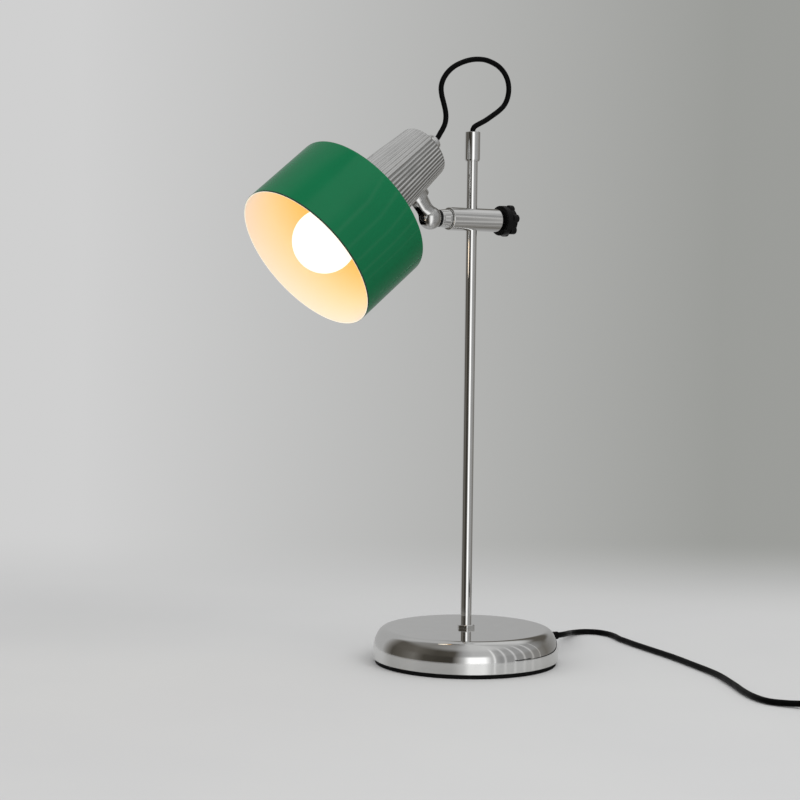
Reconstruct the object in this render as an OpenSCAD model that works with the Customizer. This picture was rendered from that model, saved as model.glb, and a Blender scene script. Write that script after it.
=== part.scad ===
// Desk lamp: weighted round base, thin stem, sliding cross clamp, swivel knuckle,
// fluted lampholder cap, short drum shade, globe bulb, and a mains lead with switch and plug.
// Millimetres, Z up, origin at the middle of the base's underside, X along the clamp barrel
// towards the star knob. The drum points to minus X and down.

/* [Base] */
// Diameter of the base
base_d = 170; // [150:1:190]
// Height of the base's flat top above the table
base_h = 32; // [29:0.5:38]
// Thickness of the chromed sheet of the base
base_wall = 1.2; // [0.8:0.1:1.8]
// Radius of the side's slow curve
side_round = 26; // [22:1:32]
// Radius of the shoulder under the flat top
top_round = 9; // [6:0.5:10]
// Thickness of the soft pad under the base
pad_h = 4.4; // [2:0.1:6]
// How far the pad stands back from the base's edge
pad_inset = 1.8; // [1.5:0.1:4]
// Thickness of the cast weight
weight_h = 17; // [10:0.5:20]
// Gap between the weight and the chromed sheet
weight_gap = 5.8; // [4.5:0.1:8]
// Height of the lead's exit above the table
exit_h = 14.5; // [13:0.25:16]

/* [Stem] */
// Outer diameter of the stem
stem_d = 10; // [9:0.25:12]
// Bore of the stem
stem_bore = 7; // [6:0.25:7.5]
// Height of the top of the stem's end ferrule
lamp_h = 486; // [470:1:520]
// Diameter of the end ferrule
ferrule_d = 14; // [13:0.25:17]
// Length of the end ferrule
ferrule_len = 26.7; // [20:0.1:32]
// Width of the foot nut across its flats
foot_nut_af = 15; // [14:0.5:20]
// Thickness of the foot nut
foot_nut_h = 3.2; // [2:0.1:5]

/* [Clamp] */
// Drop from the top of the end ferrule to the clamp barrel's axis
clamp_drop = 79.4; // [71:0.1:106]
// Diameter of the clamp barrel
barrel_d = 21; // [20:0.25:24]
// Barrel length on the head's side of the stem
barrel_near = 27; // [25:0.25:30]
// Barrel length on the knob's side of the stem
barrel_far = 29.5; // [26:0.25:34]
// Wall of the liner between stem and barrel
liner_wall = 0.9; // [0.6:0.1:1.2]
// Diameter of the clamp screw
screw_d = 7.8; // [6:0.1:8]

/* [Star knob] */
// Diameter over the lobes
knob_d = 30; // [26:0.5:36]
// Number of lobes
knob_lobes = 6; // [5:1:8]
// Thickness of the lobed part
knob_t = 6.75; // [5:0.25:10]
// Length of the round skirt behind the lobes
skirt_len = 6.25; // [5:0.25:9]
// Gap between the barrel and the knob
knob_gap = 3; // [0.5:0.05:4]

/* [Swivel] */
// Distance from the stem's axis to the middle of the ball
ball_x = 47; // [46:0.1:50]
// Diameter of the ball
ball_d = 21; // [20:0.25:22]
// Diameter of the collar at the barrel
collar_d = 17.2; // [16:0.1:19]
// Diameter of the collar at the ball
collar_tip_d = 15.6; // [14:0.1:15.8]
// Diameter of the swivel stud
stud_d = 7; // [6:0.25:7.5]
// Diameter of the stud's round end
stud_ball_d = 8; // [7.6:0.1:8.4]
// Degrees the head tips down from the pose shown
tip_down = 50; // [30:1:55]
// Degrees the head tips up from the pose shown
tip_up = 8; // [2:1:12]

/* [Head] */
// Slope of the head's axis above level
head_slope = 38.2; // [20:0.1:45]
// Distance from the head's axis to the middle of the ball
head_drop = 51.7; // [48:0.1:56]
// Distance along the head's axis from the shade's rim to the knuckle
knuckle_t = 129; // [120:0.5:140]
// Outer diameter of the shade
shade_d = 142; // [120:1:170]
// Length of the shade
shade_len = 74.5; // [60:0.5:90]
// Thickness of the shade's sheet
shade_wall = 1; // [0.8:0.1:2]
// Rounding of the shade's back edge
shade_round = 2.5; // [1.5:0.25:6]
// Diameter of the fluted cap at the shade
cap_front_d = 63.6; // [56:0.2:70]
// Diameter of the fluted cap at its far end
cap_back_d = 49.8; // [44:0.2:56]
// Distance from the shade's rim to the cap's far end
cap_t = 161; // [155:0.5:170]
// Wall of the fluted cap
cap_wall = 2.2; // [2:0.1:3]
// Number of flutes
flutes = 48; // [24:1:56]
// Radius of a flute
flute_r = 1.5; // [1.1:0.1:1.8]
// Depth of a flute
flute_depth = 0.8; // [0.4:0.05:1]
// Diameter of the gland on the cap's end
gland_d = 15; // [13:0.25:18]
// Length of the gland
gland_len = 13.5; // [8:0.25:16]
// Diameter of the bulb's globe
bulb_d = 56; // [45:1:60]
// Distance from the shade's rim back to the middle of the globe
bulb_t = 25; // [20:0.5:32]

/* [Lead] */
// Diameter of the mains lead
cord_d = 5.4; // [5:0.1:6.2]
// Diameter of the lead between stem and head
loop_d = 4.8; // [4.2:0.1:5.2]
// Length of the tapered strain relief at the base
boot_len = 26; // [20:1:40]
// Turns wound in each layer of the coil
coil_turns = 3; // [2:1:3]
// Length of the switch's case
switch_len = 62; // [56:1:70]
// Width of the switch's case
switch_w = 25; // [22:0.5:28]
// Height of the switch's case
switch_h = 15; // [14:0.5:18]
// Width of the plug
plug_w = 35.3; // [30:0.1:38]
// Thickness of the plug
plug_t = 13.7; // [12:0.1:16]

/* [Hidden] */

$fn = 64;

// Clearances
slip = 0.05; // between parts that turn or slide in each other, each side
seat = 0.05; // between parts that are pressed or screwed together, each side
free = 0.3; // between parts that must not touch
over = 1; // how far a cut runs past the face it opens

// Base
base_r = base_d / 2;
pad_r = base_r - pad_inset;
shell_low = pad_h - 0.5;
side_z = base_h - 19;
weight_r = base_r - base_wall - weight_gap;
weight_top = pad_h + weight_h;
boss_r = 16;
nut_pocket_r = 11;
nut_pocket_h = 6.5;
washer_r = 9.5;
washer_h = 1.4;
under_nut_af = 16;
under_nut_h = 4.4;
lead_groove_r = 3.2;

// Stem
stem_r = stem_d / 2;
stem_low = pad_h + 0.6;
ferrule_r = ferrule_d / 2;
ferrule_z = lamp_h - ferrule_len;
ferrule_roof = 6;
stem_top = lamp_h - ferrule_roof;
ferrule_edge = 0.8;
bush_wall = 0.95;
bush_stand = 0.5;
lead_top = lamp_h + bush_stand;
lead_r = loop_d / 2 - 0.2;

// Strain relief
cord_r = cord_d / 2;
boot_hole_r = cord_r + 1.6;
boot_root_r = boot_hole_r + 0.9;
boot_tip_r = cord_r + 0.9;
boot_flange_r = boot_hole_r + 1.4;
boot_tip_x = base_r + boot_len;
boot_flange_t = 1.6;
// Outer face of the inner flange, where it meets the curved sheet above the exit
boot_flange_x = base_r - side_round - free / 2
    + sqrt(pow(side_round - base_wall, 2) - pow(exit_h + boot_flange_r - side_z, 2));

// Clamp
clamp_z = lamp_h - clamp_drop;
barrel_r = barrel_d / 2;
barrel_edge = 1;
liner_r = stem_r + slip + liner_wall;
cross_r = liner_r + slip;
liner_half = sqrt(barrel_r * barrel_r - cross_r * cross_r) - 0.2;
bridge = 1.5;
spigot_r = 7;
spigot_bore_x = -(cross_r + bridge);
screw_r = screw_d / 2;
screw_bore_r = screw_r + 2 * slip;
shoe_x = liner_r + 0.1;
shoe_len = 4;
shoe_r = screw_bore_r - slip;
tip_r = 2;
tip_len = 2.2;
grub_x = -20;
grub_r = 2;
groove_w = 4.6;
groove_r = spigot_r - 1.6;

// Star knob
skirt_x = barrel_far + knob_gap;
lobes_x = skirt_x + skirt_len;
knob_x = lobes_x + knob_t;
knob_r = knob_d / 2;
lobe_r = knob_r * 0.26;
knob_core_r = knob_r * 0.82;
lobe_turn = 20;
skirt_r = knob_r - 1.1;

// Swivel
ball_r = ball_d / 2;
cup_gap = free;
collar_face = ball_x - 9.5;
cup_face = ball_x - 7.3;
cup_back = 2;
cup_boss_r = 6.5;
collar_r = collar_d / 2;
collar_tip_r = collar_tip_d / 2;
collar_back = barrel_near + 0.4;
spigot_end = 14;
stud_r = stud_d / 2;
stud_ball_r = stud_ball_d / 2;
stud_ball_x = ball_r - stud_ball_r;
slot_half = stud_ball_r + free;
shank_half = stud_r + free;
pin_r = 1.5;
pin_short = 7.5;
stud_nut_af = 10.4;
stud_nut_h = 4.5;
thread_r = stud_r - 1;

// Head, along its axis from the shade's rim
shade_r = shade_d / 2;
shade_back = shade_len;
shade_hole_r = 19.4;
cap_front = shade_back + 0.1;
cap_front_r = cap_front_d / 2;
cap_back_r = cap_back_d / 2;
cap_round = 4;
flange_r = 11;
flange_t = 2.6;
flange_d = cap_radius(knuckle_t) + flange_t;
neck_top_r = 8.3;
neck_waist_r = 7.5;
fillet_r = 14;
neck_sink = 0.25;
holder_r = shade_hole_r - 0.3;
holder_front = 58;
holder_back = 118;
holder_flange_r = cap_front_r - cap_wall - 1.4;
holder_flange_t = 4;
holder_wall = 4.2;
ring_t = 5;
ring_r = 26;
shell_r = holder_r - holder_wall - 0.1;
shell_wall = 1;
shell_len = 26;
bulb_r = bulb_d / 2;
bulb_cap_r = 13.1;
bulb_cap_t = 61;
bulb_cap_len = 24;
bulb_tip = 2.2;
bulb_glass = 1;
nipple_r = 5;
nipple_bore = 3.4;
gland_r = gland_d / 2;
gland_tip_r = gland_r - 0.3;
gland_edge = 0.8;
gland_tip_len = 2.4;
gland_top = cap_t + gland_len;
gland_out = gland_top + 0.4;
screw_gap = 12;
knuckle_screw_r = 1.5;
knuckle_screw_len = 6;

// Loop between stem and head
cord_lead = 1.2; // length that each lead runs straight out of what holds it
loop_r = loop_d / 2;
pivot = [-ball_x, 0, clamp_z];
// Middle of the gland's mouth, as the loop leaves it
gland_mouth = head_point(0, gland_out);
// Route of the loop from the stem's mouth to the gland's mouth: X, and height over the mouth
loop_rise = [[0, 0], [0, 1.4], [1.4, 3.9], [6.2, 6.7], [13.8, 10.4], [22.3, 15.5], [30, 20.5],
    [36.2, 26], [40, 33], [41.3, 40.8], [40, 48.3], [35.9, 55.2], [29.3, 60.6], [20.8, 64],
    [12.3, 65.6], [3.3, 65.4], [-5.6, 63.8], [-14.4, 60.8], [-22.6, 56.7], [-29.4, 51.2],
    [-34.3, 44.7], [-36.6, 37.6], [-35.9, 30.7], [-33.7, 24], [-31.6, 17.3], [-30.8, 11.4],
    [-31.6, 5.6], [-34, 0.6], [-37, -3.8]];
loop_points = concat([for (q = loop_rise) [q.x, 0, lead_top + q.y]],
    [gland_mouth + [3.2, 0, 3], head_point(0, gland_out + cord_lead), gland_mouth]);

// Mains lead on the table: height of its middle there, and its route from the boot
lie = cord_r + 0.05;
switch_turn = -60;
switch_z = 5.5;
switch_from = [120, -333, switch_z];
switch_way = [cos(switch_turn), sin(switch_turn), 0];
mains_points = [[boot_tip_x, 0, exit_h], [boot_tip_x + cord_lead, 0, exit_h],
    [118.5, 2, 14.1], [128, 8, 13], [140, 18, 11],
    [153, 32, 8], [165, 45, 5], [179, 53, 3.3], [192, 53, lie], [201, 44, lie],
    [203, 31, lie], [200, 17, lie], [194, 3, lie], [190, -12, lie], [186, -27, lie],
    [179, -58, lie], [171, -94, lie], [160, -132, lie], [145, -179, lie],
    [125, -219, lie], [110, -246, lie], [100, -269, 2.8], [97, -288, 2.9],
    [104, -305, 3.4], [113, -321, 4.8], switch_from - cord_lead * switch_way, switch_from];

// Switch on the lead
switch_boot = 9;
switch_end = switch_len / 2 + switch_boot;
switch_to = switch_from + 2 * switch_end * switch_way;
switch_at = [switch_from.x, switch_from.y, 0] + switch_end * switch_way;
switch_split = 6.5;
switch_roof = 5;
rocker_l = 17;
rocker_w = 9;
rocker_tip = 7;
rocker_z = switch_h - 1.6;

// Coil
coil_at = [212, -375];
coil_out_r = 40;
coil_pitch = 6;
layer_step = 6;
tie_t = 0.6;
tie_turn = 120;
coil_low = lie + tie_t + 0.05;
coil_last = coil_turns + 0.5 + coil_turns - 0.25;
loop_rings = 24;
coil_sides = 6;
coil_in_r = coil_out_r - coil_pitch * coil_turns;
exit_r = coil_r(coil_last);
coil_start = [coil_at.x - cord_d, coil_at.y - coil_out_r, coil_low];
coil_end = [coil_at.x + exit_r, coil_at.y + cord_d, coil_low + layer_step];
link_points = [switch_to, switch_to + cord_lead * switch_way, [164.5, -408, 5],
    [172, -413, 4.2], [183, -415, 3.6], [195, -415, coil_low], coil_start];

// Plug
plug_z = 7;
plug_boot = 22;
tail_len = 16;
plug_at = [coil_end.x, coil_end.y + tail_len + plug_boot, plug_z];
plug_body_len = 36;
pin_len = 19;
plug_pin_r = 2;
pin_gap = 18.6;
tail_end = plug_at - [0, plug_boot, 0];
tail_points = [coil_end, coil_end + [0, cord_lead, 0], coil_end + [0, 5.5, -0.5],
    coil_end + [0, 11, -1.9], tail_end - [0, cord_lead, 0], tail_end];

// Functions

// Outer radius of the cap at a distance from the rim
function cap_radius(t) = cap_front_r
    + (cap_back_r - cap_front_r) * (t - cap_front) / (cap_t - cap_round - cap_front);
// Place in the lamp's frame of a point in the head: distance off its axis towards the
// ball, and distance along it from the rim
function head_point(off, t) = pivot + (t - knuckle_t) * [cos(head_slope), 0, sin(head_slope)]
    + (off - head_drop) * [sin(head_slope), 0, -cos(head_slope)];
// Points of an arc
function arc(cx, cy, r, a0, a1, n) = [for (i = [0:n])
    [cx + r * cos(a0 + (a1 - a0) * i / n), cy + r * sin(a0 + (a1 - a0) * i / n)]];
// A smooth curve through points, n steps between each two
function bend(a, b, c, d, t) = 0.5 * (2 * b + (c - a) * t + (2 * a - 5 * b + 4 * c - d) * t * t
    + (3 * b - a - 3 * c + d) * t * t * t);
function steps(p, i, gap) = max(1, round(norm(p[i + 1] - p[i]) / gap));
function smooth(p, gap) = concat([for (i = [0:len(p) - 2], k = [0:steps(p, i, gap) - 1])
    bend(i == 0 ? 2 * p[0] - p[1] : p[i - 1], p[i], p[i + 1],
        i == len(p) - 2 ? 2 * p[i + 1] - p[i] : p[i + 2], k / steps(p, i, gap))],
    [p[len(p) - 1]]);
function unit(v) = v / norm(v);
function way(p, i) = unit(p[min(i + 1, len(p) - 1)] - p[max(i - 1, 0)]);
function length(p) = len(p) < 2 ? 0 : [for (i = 1, s = norm(p[1] - p[0]); i < len(p);
    i = i + 1, s = s + (i < len(p) ? norm(p[i] - p[i - 1]) : 0)) s][len(p) - 2];
// Radius of the coil after a number of turns: in, a half turn that climbs, and out
function coil_r(u) = u < coil_turns ? coil_out_r - coil_pitch * u
    : u < coil_turns + 0.5 ? coil_in_r - coil_pitch * (u - coil_turns)
        + 2 * coil_pitch * pow(u - coil_turns, 2)
    : coil_in_r + coil_pitch * (u - coil_turns - 0.5);
function coil_z(u) = let(v = min(1, max(0, (u - coil_turns) * 2)))
    coil_low + layer_step * v * v * (3 - 2 * v);
function coil_point(u) = [coil_at.x + coil_r(u) * sin(360 * u),
    coil_at.y - coil_r(u) * cos(360 * u), coil_z(u)];
coil_line = concat([coil_start], [for (i = [0:loop_rings * coil_last])
    coil_point(i / loop_rings)], [coil_end]);
// Least distance between turns of the coil, less its diameter
coil_gap = min([for (i = [1:len(coil_line) - 2], j = [i + loop_rings / 3:len(coil_line) - 2])
    norm(coil_line[i] - coil_line[j])]) - cord_d;
echo(coil_self_gap = coil_gap, coil_length = length(coil_line));
echo(loop_length = length(smooth(loop_points, 3)),
    mains_length = length(smooth(mains_points, 5)),
    link_length = length(smooth(link_points, 5)));

// Helpers

// A tube swept along points; side is a direction that is never along the route
module tube(p, r, sides, side) {
    n = len(p);
    ring = [for (i = [0:n - 1]) let(t = way(p, i), u = unit(cross(t, side)), v = cross(u, t))
        for (k = [0:sides - 1]) p[i] + r * (cos(360 * k / sides) * v + sin(360 * k / sides) * u)];
    wall = [for (i = [0:n - 2], k = [0:sides - 1]) let(a = i * sides + k,
        b = i * sides + (k + 1) % sides) each [[a, b, a + sides], [b, b + sides, a + sides]]];
    ends = [for (k = [1:sides - 2]) each [[0, k + 1, k],
        [(n - 1) * sides, (n - 1) * sides + k, (n - 1) * sides + k + 1]]];
    polyhedron(points = ring, faces = concat(wall, ends));
}

module along_x(x, y = 0, z = 0) {
    translate([x, y, z]) rotate([0, 90, 0]) children();
}

// Puts a head part, drawn with the shade's rim at 0 and its axis up, into the lamp
module in_head() {
    translate(pivot) rotate([0, 90 - head_slope, 0])
        translate([-head_drop, 0, -knuckle_t]) children();
}

module pipe(r, bore, h) {
    difference() {
        cylinder(r = r, h = h);
        translate([0, 0, -over]) cylinder(r = bore, h = h + 2 * over);
    }
}

module hex(af, h) {
    cylinder(r = af / 2 / cos(30), h = h, $fn = 6);
}

// Base

// Outline of the base's sheet, set in by a thickness
module base_outline(in) {
    a = asin((base_h - side_z - top_round) / (side_round - top_round));
    side = arc(base_r - side_round, side_z, side_round - in, 0, a, 8);
    shoulder = arc(base_r - side_round + (side_round - top_round) * cos(a),
        base_h - top_round, top_round - in, a, 90, 9);
    polygon(concat([[0, shell_low - (in > 0 ? over : 0)], [base_r - in, shell_low
        - (in > 0 ? over : 0)]], side, [for (i = [1:9]) shoulder[i]], [[0, base_h - in]]));
}

module base_shell() color("#c9ccd0") {
    difference() {
        rotate_extrude($fn = 96) base_outline(0);
        rotate_extrude($fn = 96) base_outline(base_wall);
        translate([0, 0, base_h - base_wall - over])
            cylinder(r = stem_r + seat, h = base_wall + 2 * over);
        along_x(base_r - base_wall - 3, 0, exit_h)
            cylinder(r = boot_hole_r + seat, h = base_wall + 6);
    }
}

module base_weight() color("#4a4a4c") {
    difference() {
        union() {
            translate([0, 0, pad_h]) cylinder(r = weight_r, h = weight_h);
            translate([0, 0, pad_h]) cylinder(r = boss_r, h = base_h - base_wall - pad_h);
        }
        translate([0, 0, pad_h - over]) cylinder(r = stem_r + seat, h = base_h);
        translate([0, 0, pad_h - over]) cylinder(r = nut_pocket_r, h = nut_pocket_h + over);
        along_x(0, 0, exit_h) cylinder(r = lead_groove_r, h = weight_r + over);
    }
}

module base_pad() color("#161616") {
    cylinder(r = pad_r, h = pad_h);
}

// Stem

module stem() color("#d3d6d9") {
    difference() {
        translate([0, 0, stem_low]) pipe(stem_r, stem_bore / 2, stem_top - stem_low);
        along_x(0, 0, exit_h) cylinder(r = lead_groove_r - 0.2, h = stem_r + over);
    }
}

module foot_nut() color("#d3d6d9") {
    translate([0, 0, base_h]) difference() {
        hex(foot_nut_af, foot_nut_h);
        translate([0, 0, -over]) cylinder(r = stem_r + seat, h = foot_nut_h + 2 * over);
    }
}

module under_washer() color("#b9bcc0") {
    translate([0, 0, pad_h + nut_pocket_h - washer_h]) pipe(washer_r, stem_r + seat, washer_h);
}

module under_nut() color("#b9bcc0") {
    translate([0, 0, pad_h + nut_pocket_h - washer_h - under_nut_h]) difference() {
        hex(under_nut_af, under_nut_h);
        translate([0, 0, -over]) cylinder(r = stem_r + seat, h = under_nut_h + 2 * over);
    }
}

module stem_ferrule() color("#d3d6d9") {
    difference() {
        rotate_extrude() polygon([[0, ferrule_z], [ferrule_r - ferrule_edge, ferrule_z],
            [ferrule_r, ferrule_z + 2 * ferrule_edge], [ferrule_r, lamp_h - ferrule_edge / 2],
            [ferrule_r - ferrule_edge / 2, lamp_h], [0, lamp_h]]);
        translate([0, 0, ferrule_z - over])
            cylinder(r = stem_r + seat, h = ferrule_len - ferrule_roof + over);
        translate([0, 0, stem_top - over])
            cylinder(r = loop_r + seat + bush_wall + seat, h = ferrule_roof + 2 * over);
    }
}

module ferrule_bush() color("#161616") {
    translate([0, 0, stem_top + 0.1])
        pipe(loop_r + seat + bush_wall, loop_r + seat, lead_top - stem_top - 0.1);
}

// The lead inside the lamp, from the strain relief through the base and up the stem
module inner_lead() color("#161616") {
    union() {
        along_x(-lead_r, 0, exit_h) cylinder(r = cord_r, h = boot_tip_x + lead_r);
        translate([0, 0, exit_h]) cylinder(r = lead_r, h = lead_top - exit_h);
    }
}

module cord_boot() color("#161616") {
    difference() {
        along_x(0, 0, exit_h) rotate_extrude() polygon([
            [0, boot_flange_x - boot_flange_t], [boot_flange_r, boot_flange_x - boot_flange_t],
            [boot_flange_r, boot_flange_x], [boot_hole_r, boot_flange_x],
            [boot_hole_r, base_r + 0.2], [boot_root_r, base_r + 0.2],
            [boot_root_r, base_r + 2.2], [boot_tip_r, boot_tip_x], [0, boot_tip_x]]);
        along_x(base_r - 10, 0, exit_h) cylinder(r = cord_r + seat, h = boot_len + 12);
    }
}

// Clamp

module stem_liner() color("#e4e2da") {
    translate([0, 0, clamp_z - liner_half]) pipe(liner_r, stem_r + slip, 2 * liner_half);
}

module clamp_barrel() color("#d3d6d9") {
    difference() {
        along_x(0, 0, clamp_z) rotate_extrude() polygon([[0, -barrel_near],
            [barrel_r - barrel_edge, -barrel_near], [barrel_r - 0.3, -barrel_near + 0.4],
            [barrel_r, -barrel_near + barrel_edge], [barrel_r, barrel_far - barrel_edge],
            [barrel_r - 0.3, barrel_far - 0.4], [barrel_r - barrel_edge, barrel_far],
            [0, barrel_far]]);
        translate([0, 0, clamp_z - barrel_r - over])
            cylinder(r = cross_r, h = barrel_d + 2 * over);
        along_x(-barrel_near - over, 0, clamp_z)
            cylinder(r = spigot_r + slip, h = barrel_near + over + spigot_bore_x);
        along_x(0, 0, clamp_z) cylinder(r = screw_bore_r, h = barrel_far + over);
        translate([grub_x, 0, clamp_z - barrel_r - over])
            cylinder(r = grub_r + seat, h = barrel_r + over - groove_r - 0.4);
    }
}

module collar_screw() color("#4a4a4c") {
    difference() {
        translate([grub_x, 0, clamp_z - barrel_r + 0.4])
            cylinder(r = grub_r, h = barrel_r - 0.4 - groove_r - 0.1);
        translate([grub_x, 0, clamp_z - barrel_r]) hex(2, 2.4);
    }
}

module pressure_shoe() color("#b08d4a") {
    along_x(shoe_x, 0, clamp_z) difference() {
        cylinder(r = shoe_r, h = shoe_len);
        translate([0, 0, shoe_len - tip_len]) cylinder(r = tip_r + slip, h = tip_len + over);
    }
}

module clamp_screw() color("#b9bcc0") {
    along_x(shoe_x + shoe_len, 0, clamp_z) {
        translate([0, 0, 0.1]) cylinder(r = screw_r, h = lobes_x + 2 - shoe_x - shoe_len - 0.1);
        translate([0, 0, 0.1 - tip_len]) cylinder(r = tip_r, h = tip_len + over);
    }
}

module star_knob() color("#141414") {
    difference() {
        union() {
            along_x(skirt_x, 0, clamp_z)
                cylinder(r1 = skirt_r - 0.2, r2 = skirt_r, h = skirt_len + 0.5);
            along_x(lobes_x, 0, clamp_z) linear_extrude(knob_t) star();
        }
        along_x(skirt_x - over, 0, clamp_z)
            cylinder(r = screw_r + seat, h = lobes_x + 2.1 - skirt_x + over);
        along_x(knob_x - 1, 0, clamp_z) cylinder(r1 = knob_core_r - 4, r2 = knob_core_r - 2.5, h = 2);
    }
}

module star() {
    circle(r = knob_core_r);
    for (i = [0:knob_lobes - 1]) rotate(lobe_turn + 360 * i / knob_lobes)
        translate([-(knob_r - lobe_r), 0]) circle(r = lobe_r, $fn = 32);
}

// Swivel

module swivel_collar() color("#d3d6d9") {
    difference() {
        along_x(0, 0, clamp_z) rotate_extrude() polygon([[0, -collar_face],
            [collar_tip_r - 0.4, -collar_face], [collar_tip_r, -collar_face + 0.6],
            [collar_r, -collar_back - 2], [collar_r, -collar_back],
            [spigot_r, -collar_back], [spigot_r, -spigot_end], [0, -spigot_end]]);
        along_x(-collar_face - over, 0, clamp_z) cylinder(r = cup_boss_r + seat, h = cup_back + over);
        along_x(-collar_face, 0, clamp_z) cylinder(r = stud_r + seat, h = collar_face);
        along_x(grub_x - groove_w / 2, 0, clamp_z) difference() {
            cylinder(r = spigot_r + over, h = groove_w);
            translate([0, 0, -over]) cylinder(r = groove_r, h = groove_w + 2 * over);
        }
    }
}

module friction_cup() color("#0e0e0e") {
    difference() {
        union() {
            along_x(-ball_x + 7.3, 0, clamp_z) cylinder(r = collar_tip_r, h = cup_face - collar_face);
            along_x(-collar_face - 0.5, 0, clamp_z) cylinder(r = cup_boss_r, h = cup_back + 0.4);
        }
        translate(pivot) sphere(r = ball_r + cup_gap);
        along_x(-ball_x, 0, clamp_z) cylinder(r = stud_r + seat, h = ball_x);
    }
}

module swivel_stud() color("#0e0e0e") {
    difference() {
        union() {
            translate(pivot - [stud_ball_x, 0, 0]) sphere(r = stud_ball_r);
            along_x(-ball_x - stud_ball_x, 0, clamp_z)
                cylinder(r = stud_r, h = ball_x + stud_ball_x - spigot_end);
            along_x(-spigot_end - over, 0, clamp_z) cylinder(r = thread_r, h = stud_nut_h + 1.5);
        }
        translate(pivot - [0, ball_r, 0]) rotate([-90, 0, 0])
            cylinder(r = pin_r + slip, h = ball_d);
    }
}

module stud_nut() color("#b9bcc0") {
    along_x(-spigot_end, 0, clamp_z) difference() {
        hex(stud_nut_af, stud_nut_h);
        translate([0, 0, -over]) cylinder(r = thread_r + seat, h = stud_nut_h + 2 * over);
    }
}

// A pie slice in the plane of the head, from angle a0 to a1 above plus X
module slice(a0, a1, r, half) {
    rotate([90, 0, 0]) translate([0, 0, -half]) linear_extrude(2 * half)
        polygon(concat([[0, 0]], arc(0, 0, r / cos((a1 - a0) / 12), a0, a1, 6)));
}

// Room for the stud to swing in the knuckle
module stud_sweep() {
    reach = ball_r + 3;
    slice(180 - tip_down, 180 + tip_up, reach, slot_half - 0.05);
    slice(-tip_down, tip_up, reach, shank_half - 0.05);
    for (a = [-tip_down, tip_up]) rotate([0, 90 - a, 0]) {
        cylinder(r = shank_half, h = reach);
        mirror([0, 0, 1]) cylinder(r = slot_half, h = reach);
    }
}

module knuckle_form() {
    d = head_drop;
    down = sqrt(pow(ball_r - neck_sink + fillet_r, 2) - pow(neck_waist_r + fillet_r, 2));
    a = atan(down / (neck_waist_r + fillet_r));
    in_head() translate([0, 0, knuckle_t]) rotate([0, 90, 0]) {
        cylinder(r = flange_r, h = flange_d - 0.5);
        cylinder(r = flange_r - 0.5, h = flange_d);
        rotate_extrude() polygon(concat([[0, 0], [neck_top_r, 0], [neck_top_r, flange_d]],
            arc(neck_waist_r + fillet_r, d - down, fillet_r, 180, 180 - a, 6),
            [[0, d - 2]]));
    }
    translate(pivot) sphere(r = ball_r);
}

module swivel_knuckle() color("#cfd2d5") {
    difference() {
        knuckle_form();
        in_head() {
            cylinder(r1 = cap_radius(0) + seat, r2 = cap_radius(200) + seat, h = 200);
            // slot down the neck on the shade's side
            translate([flange_d + 0.4, -slot_half + 0.05, knuckle_t - 14])
                cube([head_drop - flange_d - 0.4, 2 * slot_half - 0.1, 12.4]);
            // holes for the two screws from inside the cap
            for (s = [-1, 1]) translate([cap_radius(knuckle_t) - 2, 0, knuckle_t + s * screw_gap / 2])
                rotate([0, 90, 0]) cylinder(r = knuckle_screw_r + seat, h = 5);
        }
        translate(pivot) stud_sweep();
        translate(pivot - [0, pin_short + 0.1, 0]) rotate([-90, 0, 0])
            cylinder(r = pin_r + seat, h = ball_d);
    }
}

module tilt_pin() color("#b9bcc0") {
    translate(pivot - [0, pin_short, 0]) rotate([-90, 0, 0])
        cylinder(r = pin_r, h = pin_short + ball_r - 0.6);
}

module knuckle_screws() color("#b9bcc0") {
    inner = cap_radius(knuckle_t) - cap_wall;
    in_head() for (s = [-1, 1]) translate([inner, 0, knuckle_t + s * screw_gap / 2])
        rotate([0, 90, 0]) {
            translate([0, 0, -0.9]) cylinder(r = knuckle_screw_r, h = 0.9 + cap_wall + 2.2);
            translate([0, 0, -2.4]) cylinder(r = 2.8, h = 1.6);
        }
}

// Head

module head_cap() color("#c2c5c8") {
    lean = atan((cap_front_r - cap_back_r) / (cap_t - cap_round - cap_front));
    in_head() difference() {
        rotate_extrude($fn = 96) polygon(concat([[0, cap_front], [cap_front_r, cap_front]],
            arc(cap_back_r - cap_round, cap_t - cap_round, cap_round, 5, 90, 8), [[0, cap_t]]));
        rotate_extrude($fn = 96) polygon([[0, cap_front - over],
            [cap_front_r - cap_wall, cap_front - over],
            [cap_back_r - cap_wall, cap_t - cap_round],
            [cap_back_r - cap_wall - 3, cap_t - cap_wall], [0, cap_t - cap_wall]]);
        for (i = [0:flutes - 1]) rotate(360 * (i + 0.5) / flutes)
            translate([cap_front_r + flute_r - flute_depth, 0, cap_front]) rotate([0, -lean, 0])
                translate([0, 0, -4]) cylinder(r = flute_r, h = cap_t - cap_front + 12);
        translate([0, 0, cap_t - cap_wall - over]) cylinder(r = nipple_r + seat, h = 10);
        for (s = [-1, 1]) translate([cap_radius(knuckle_t) - cap_wall - 2, 0,
            knuckle_t + s * screw_gap / 2]) rotate([0, 90, 0])
            cylinder(r = knuckle_screw_r + 2 * seat, h = 8);
    }
}

module shade() color("#0b6b43") {
    in_head() difference() {
        rotate_extrude($fn = 96) polygon(concat([[0, 0], [shade_r, 0]],
            arc(shade_r - shade_round, shade_back - shade_round, shade_round, 0, 90, 5),
            [[0, shade_back]]));
        rotate_extrude($fn = 96) polygon(concat([[0, -over], [shade_r - shade_wall, -over]],
            arc(shade_r - shade_round, shade_back - shade_round, shade_round - shade_wall, 0, 90, 5),
            [[0, shade_back - shade_wall]]));
        translate([0, 0, shade_back - shade_wall - over])
            cylinder(r = shade_hole_r, h = shade_wall + 2 * over);
    }
}

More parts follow.
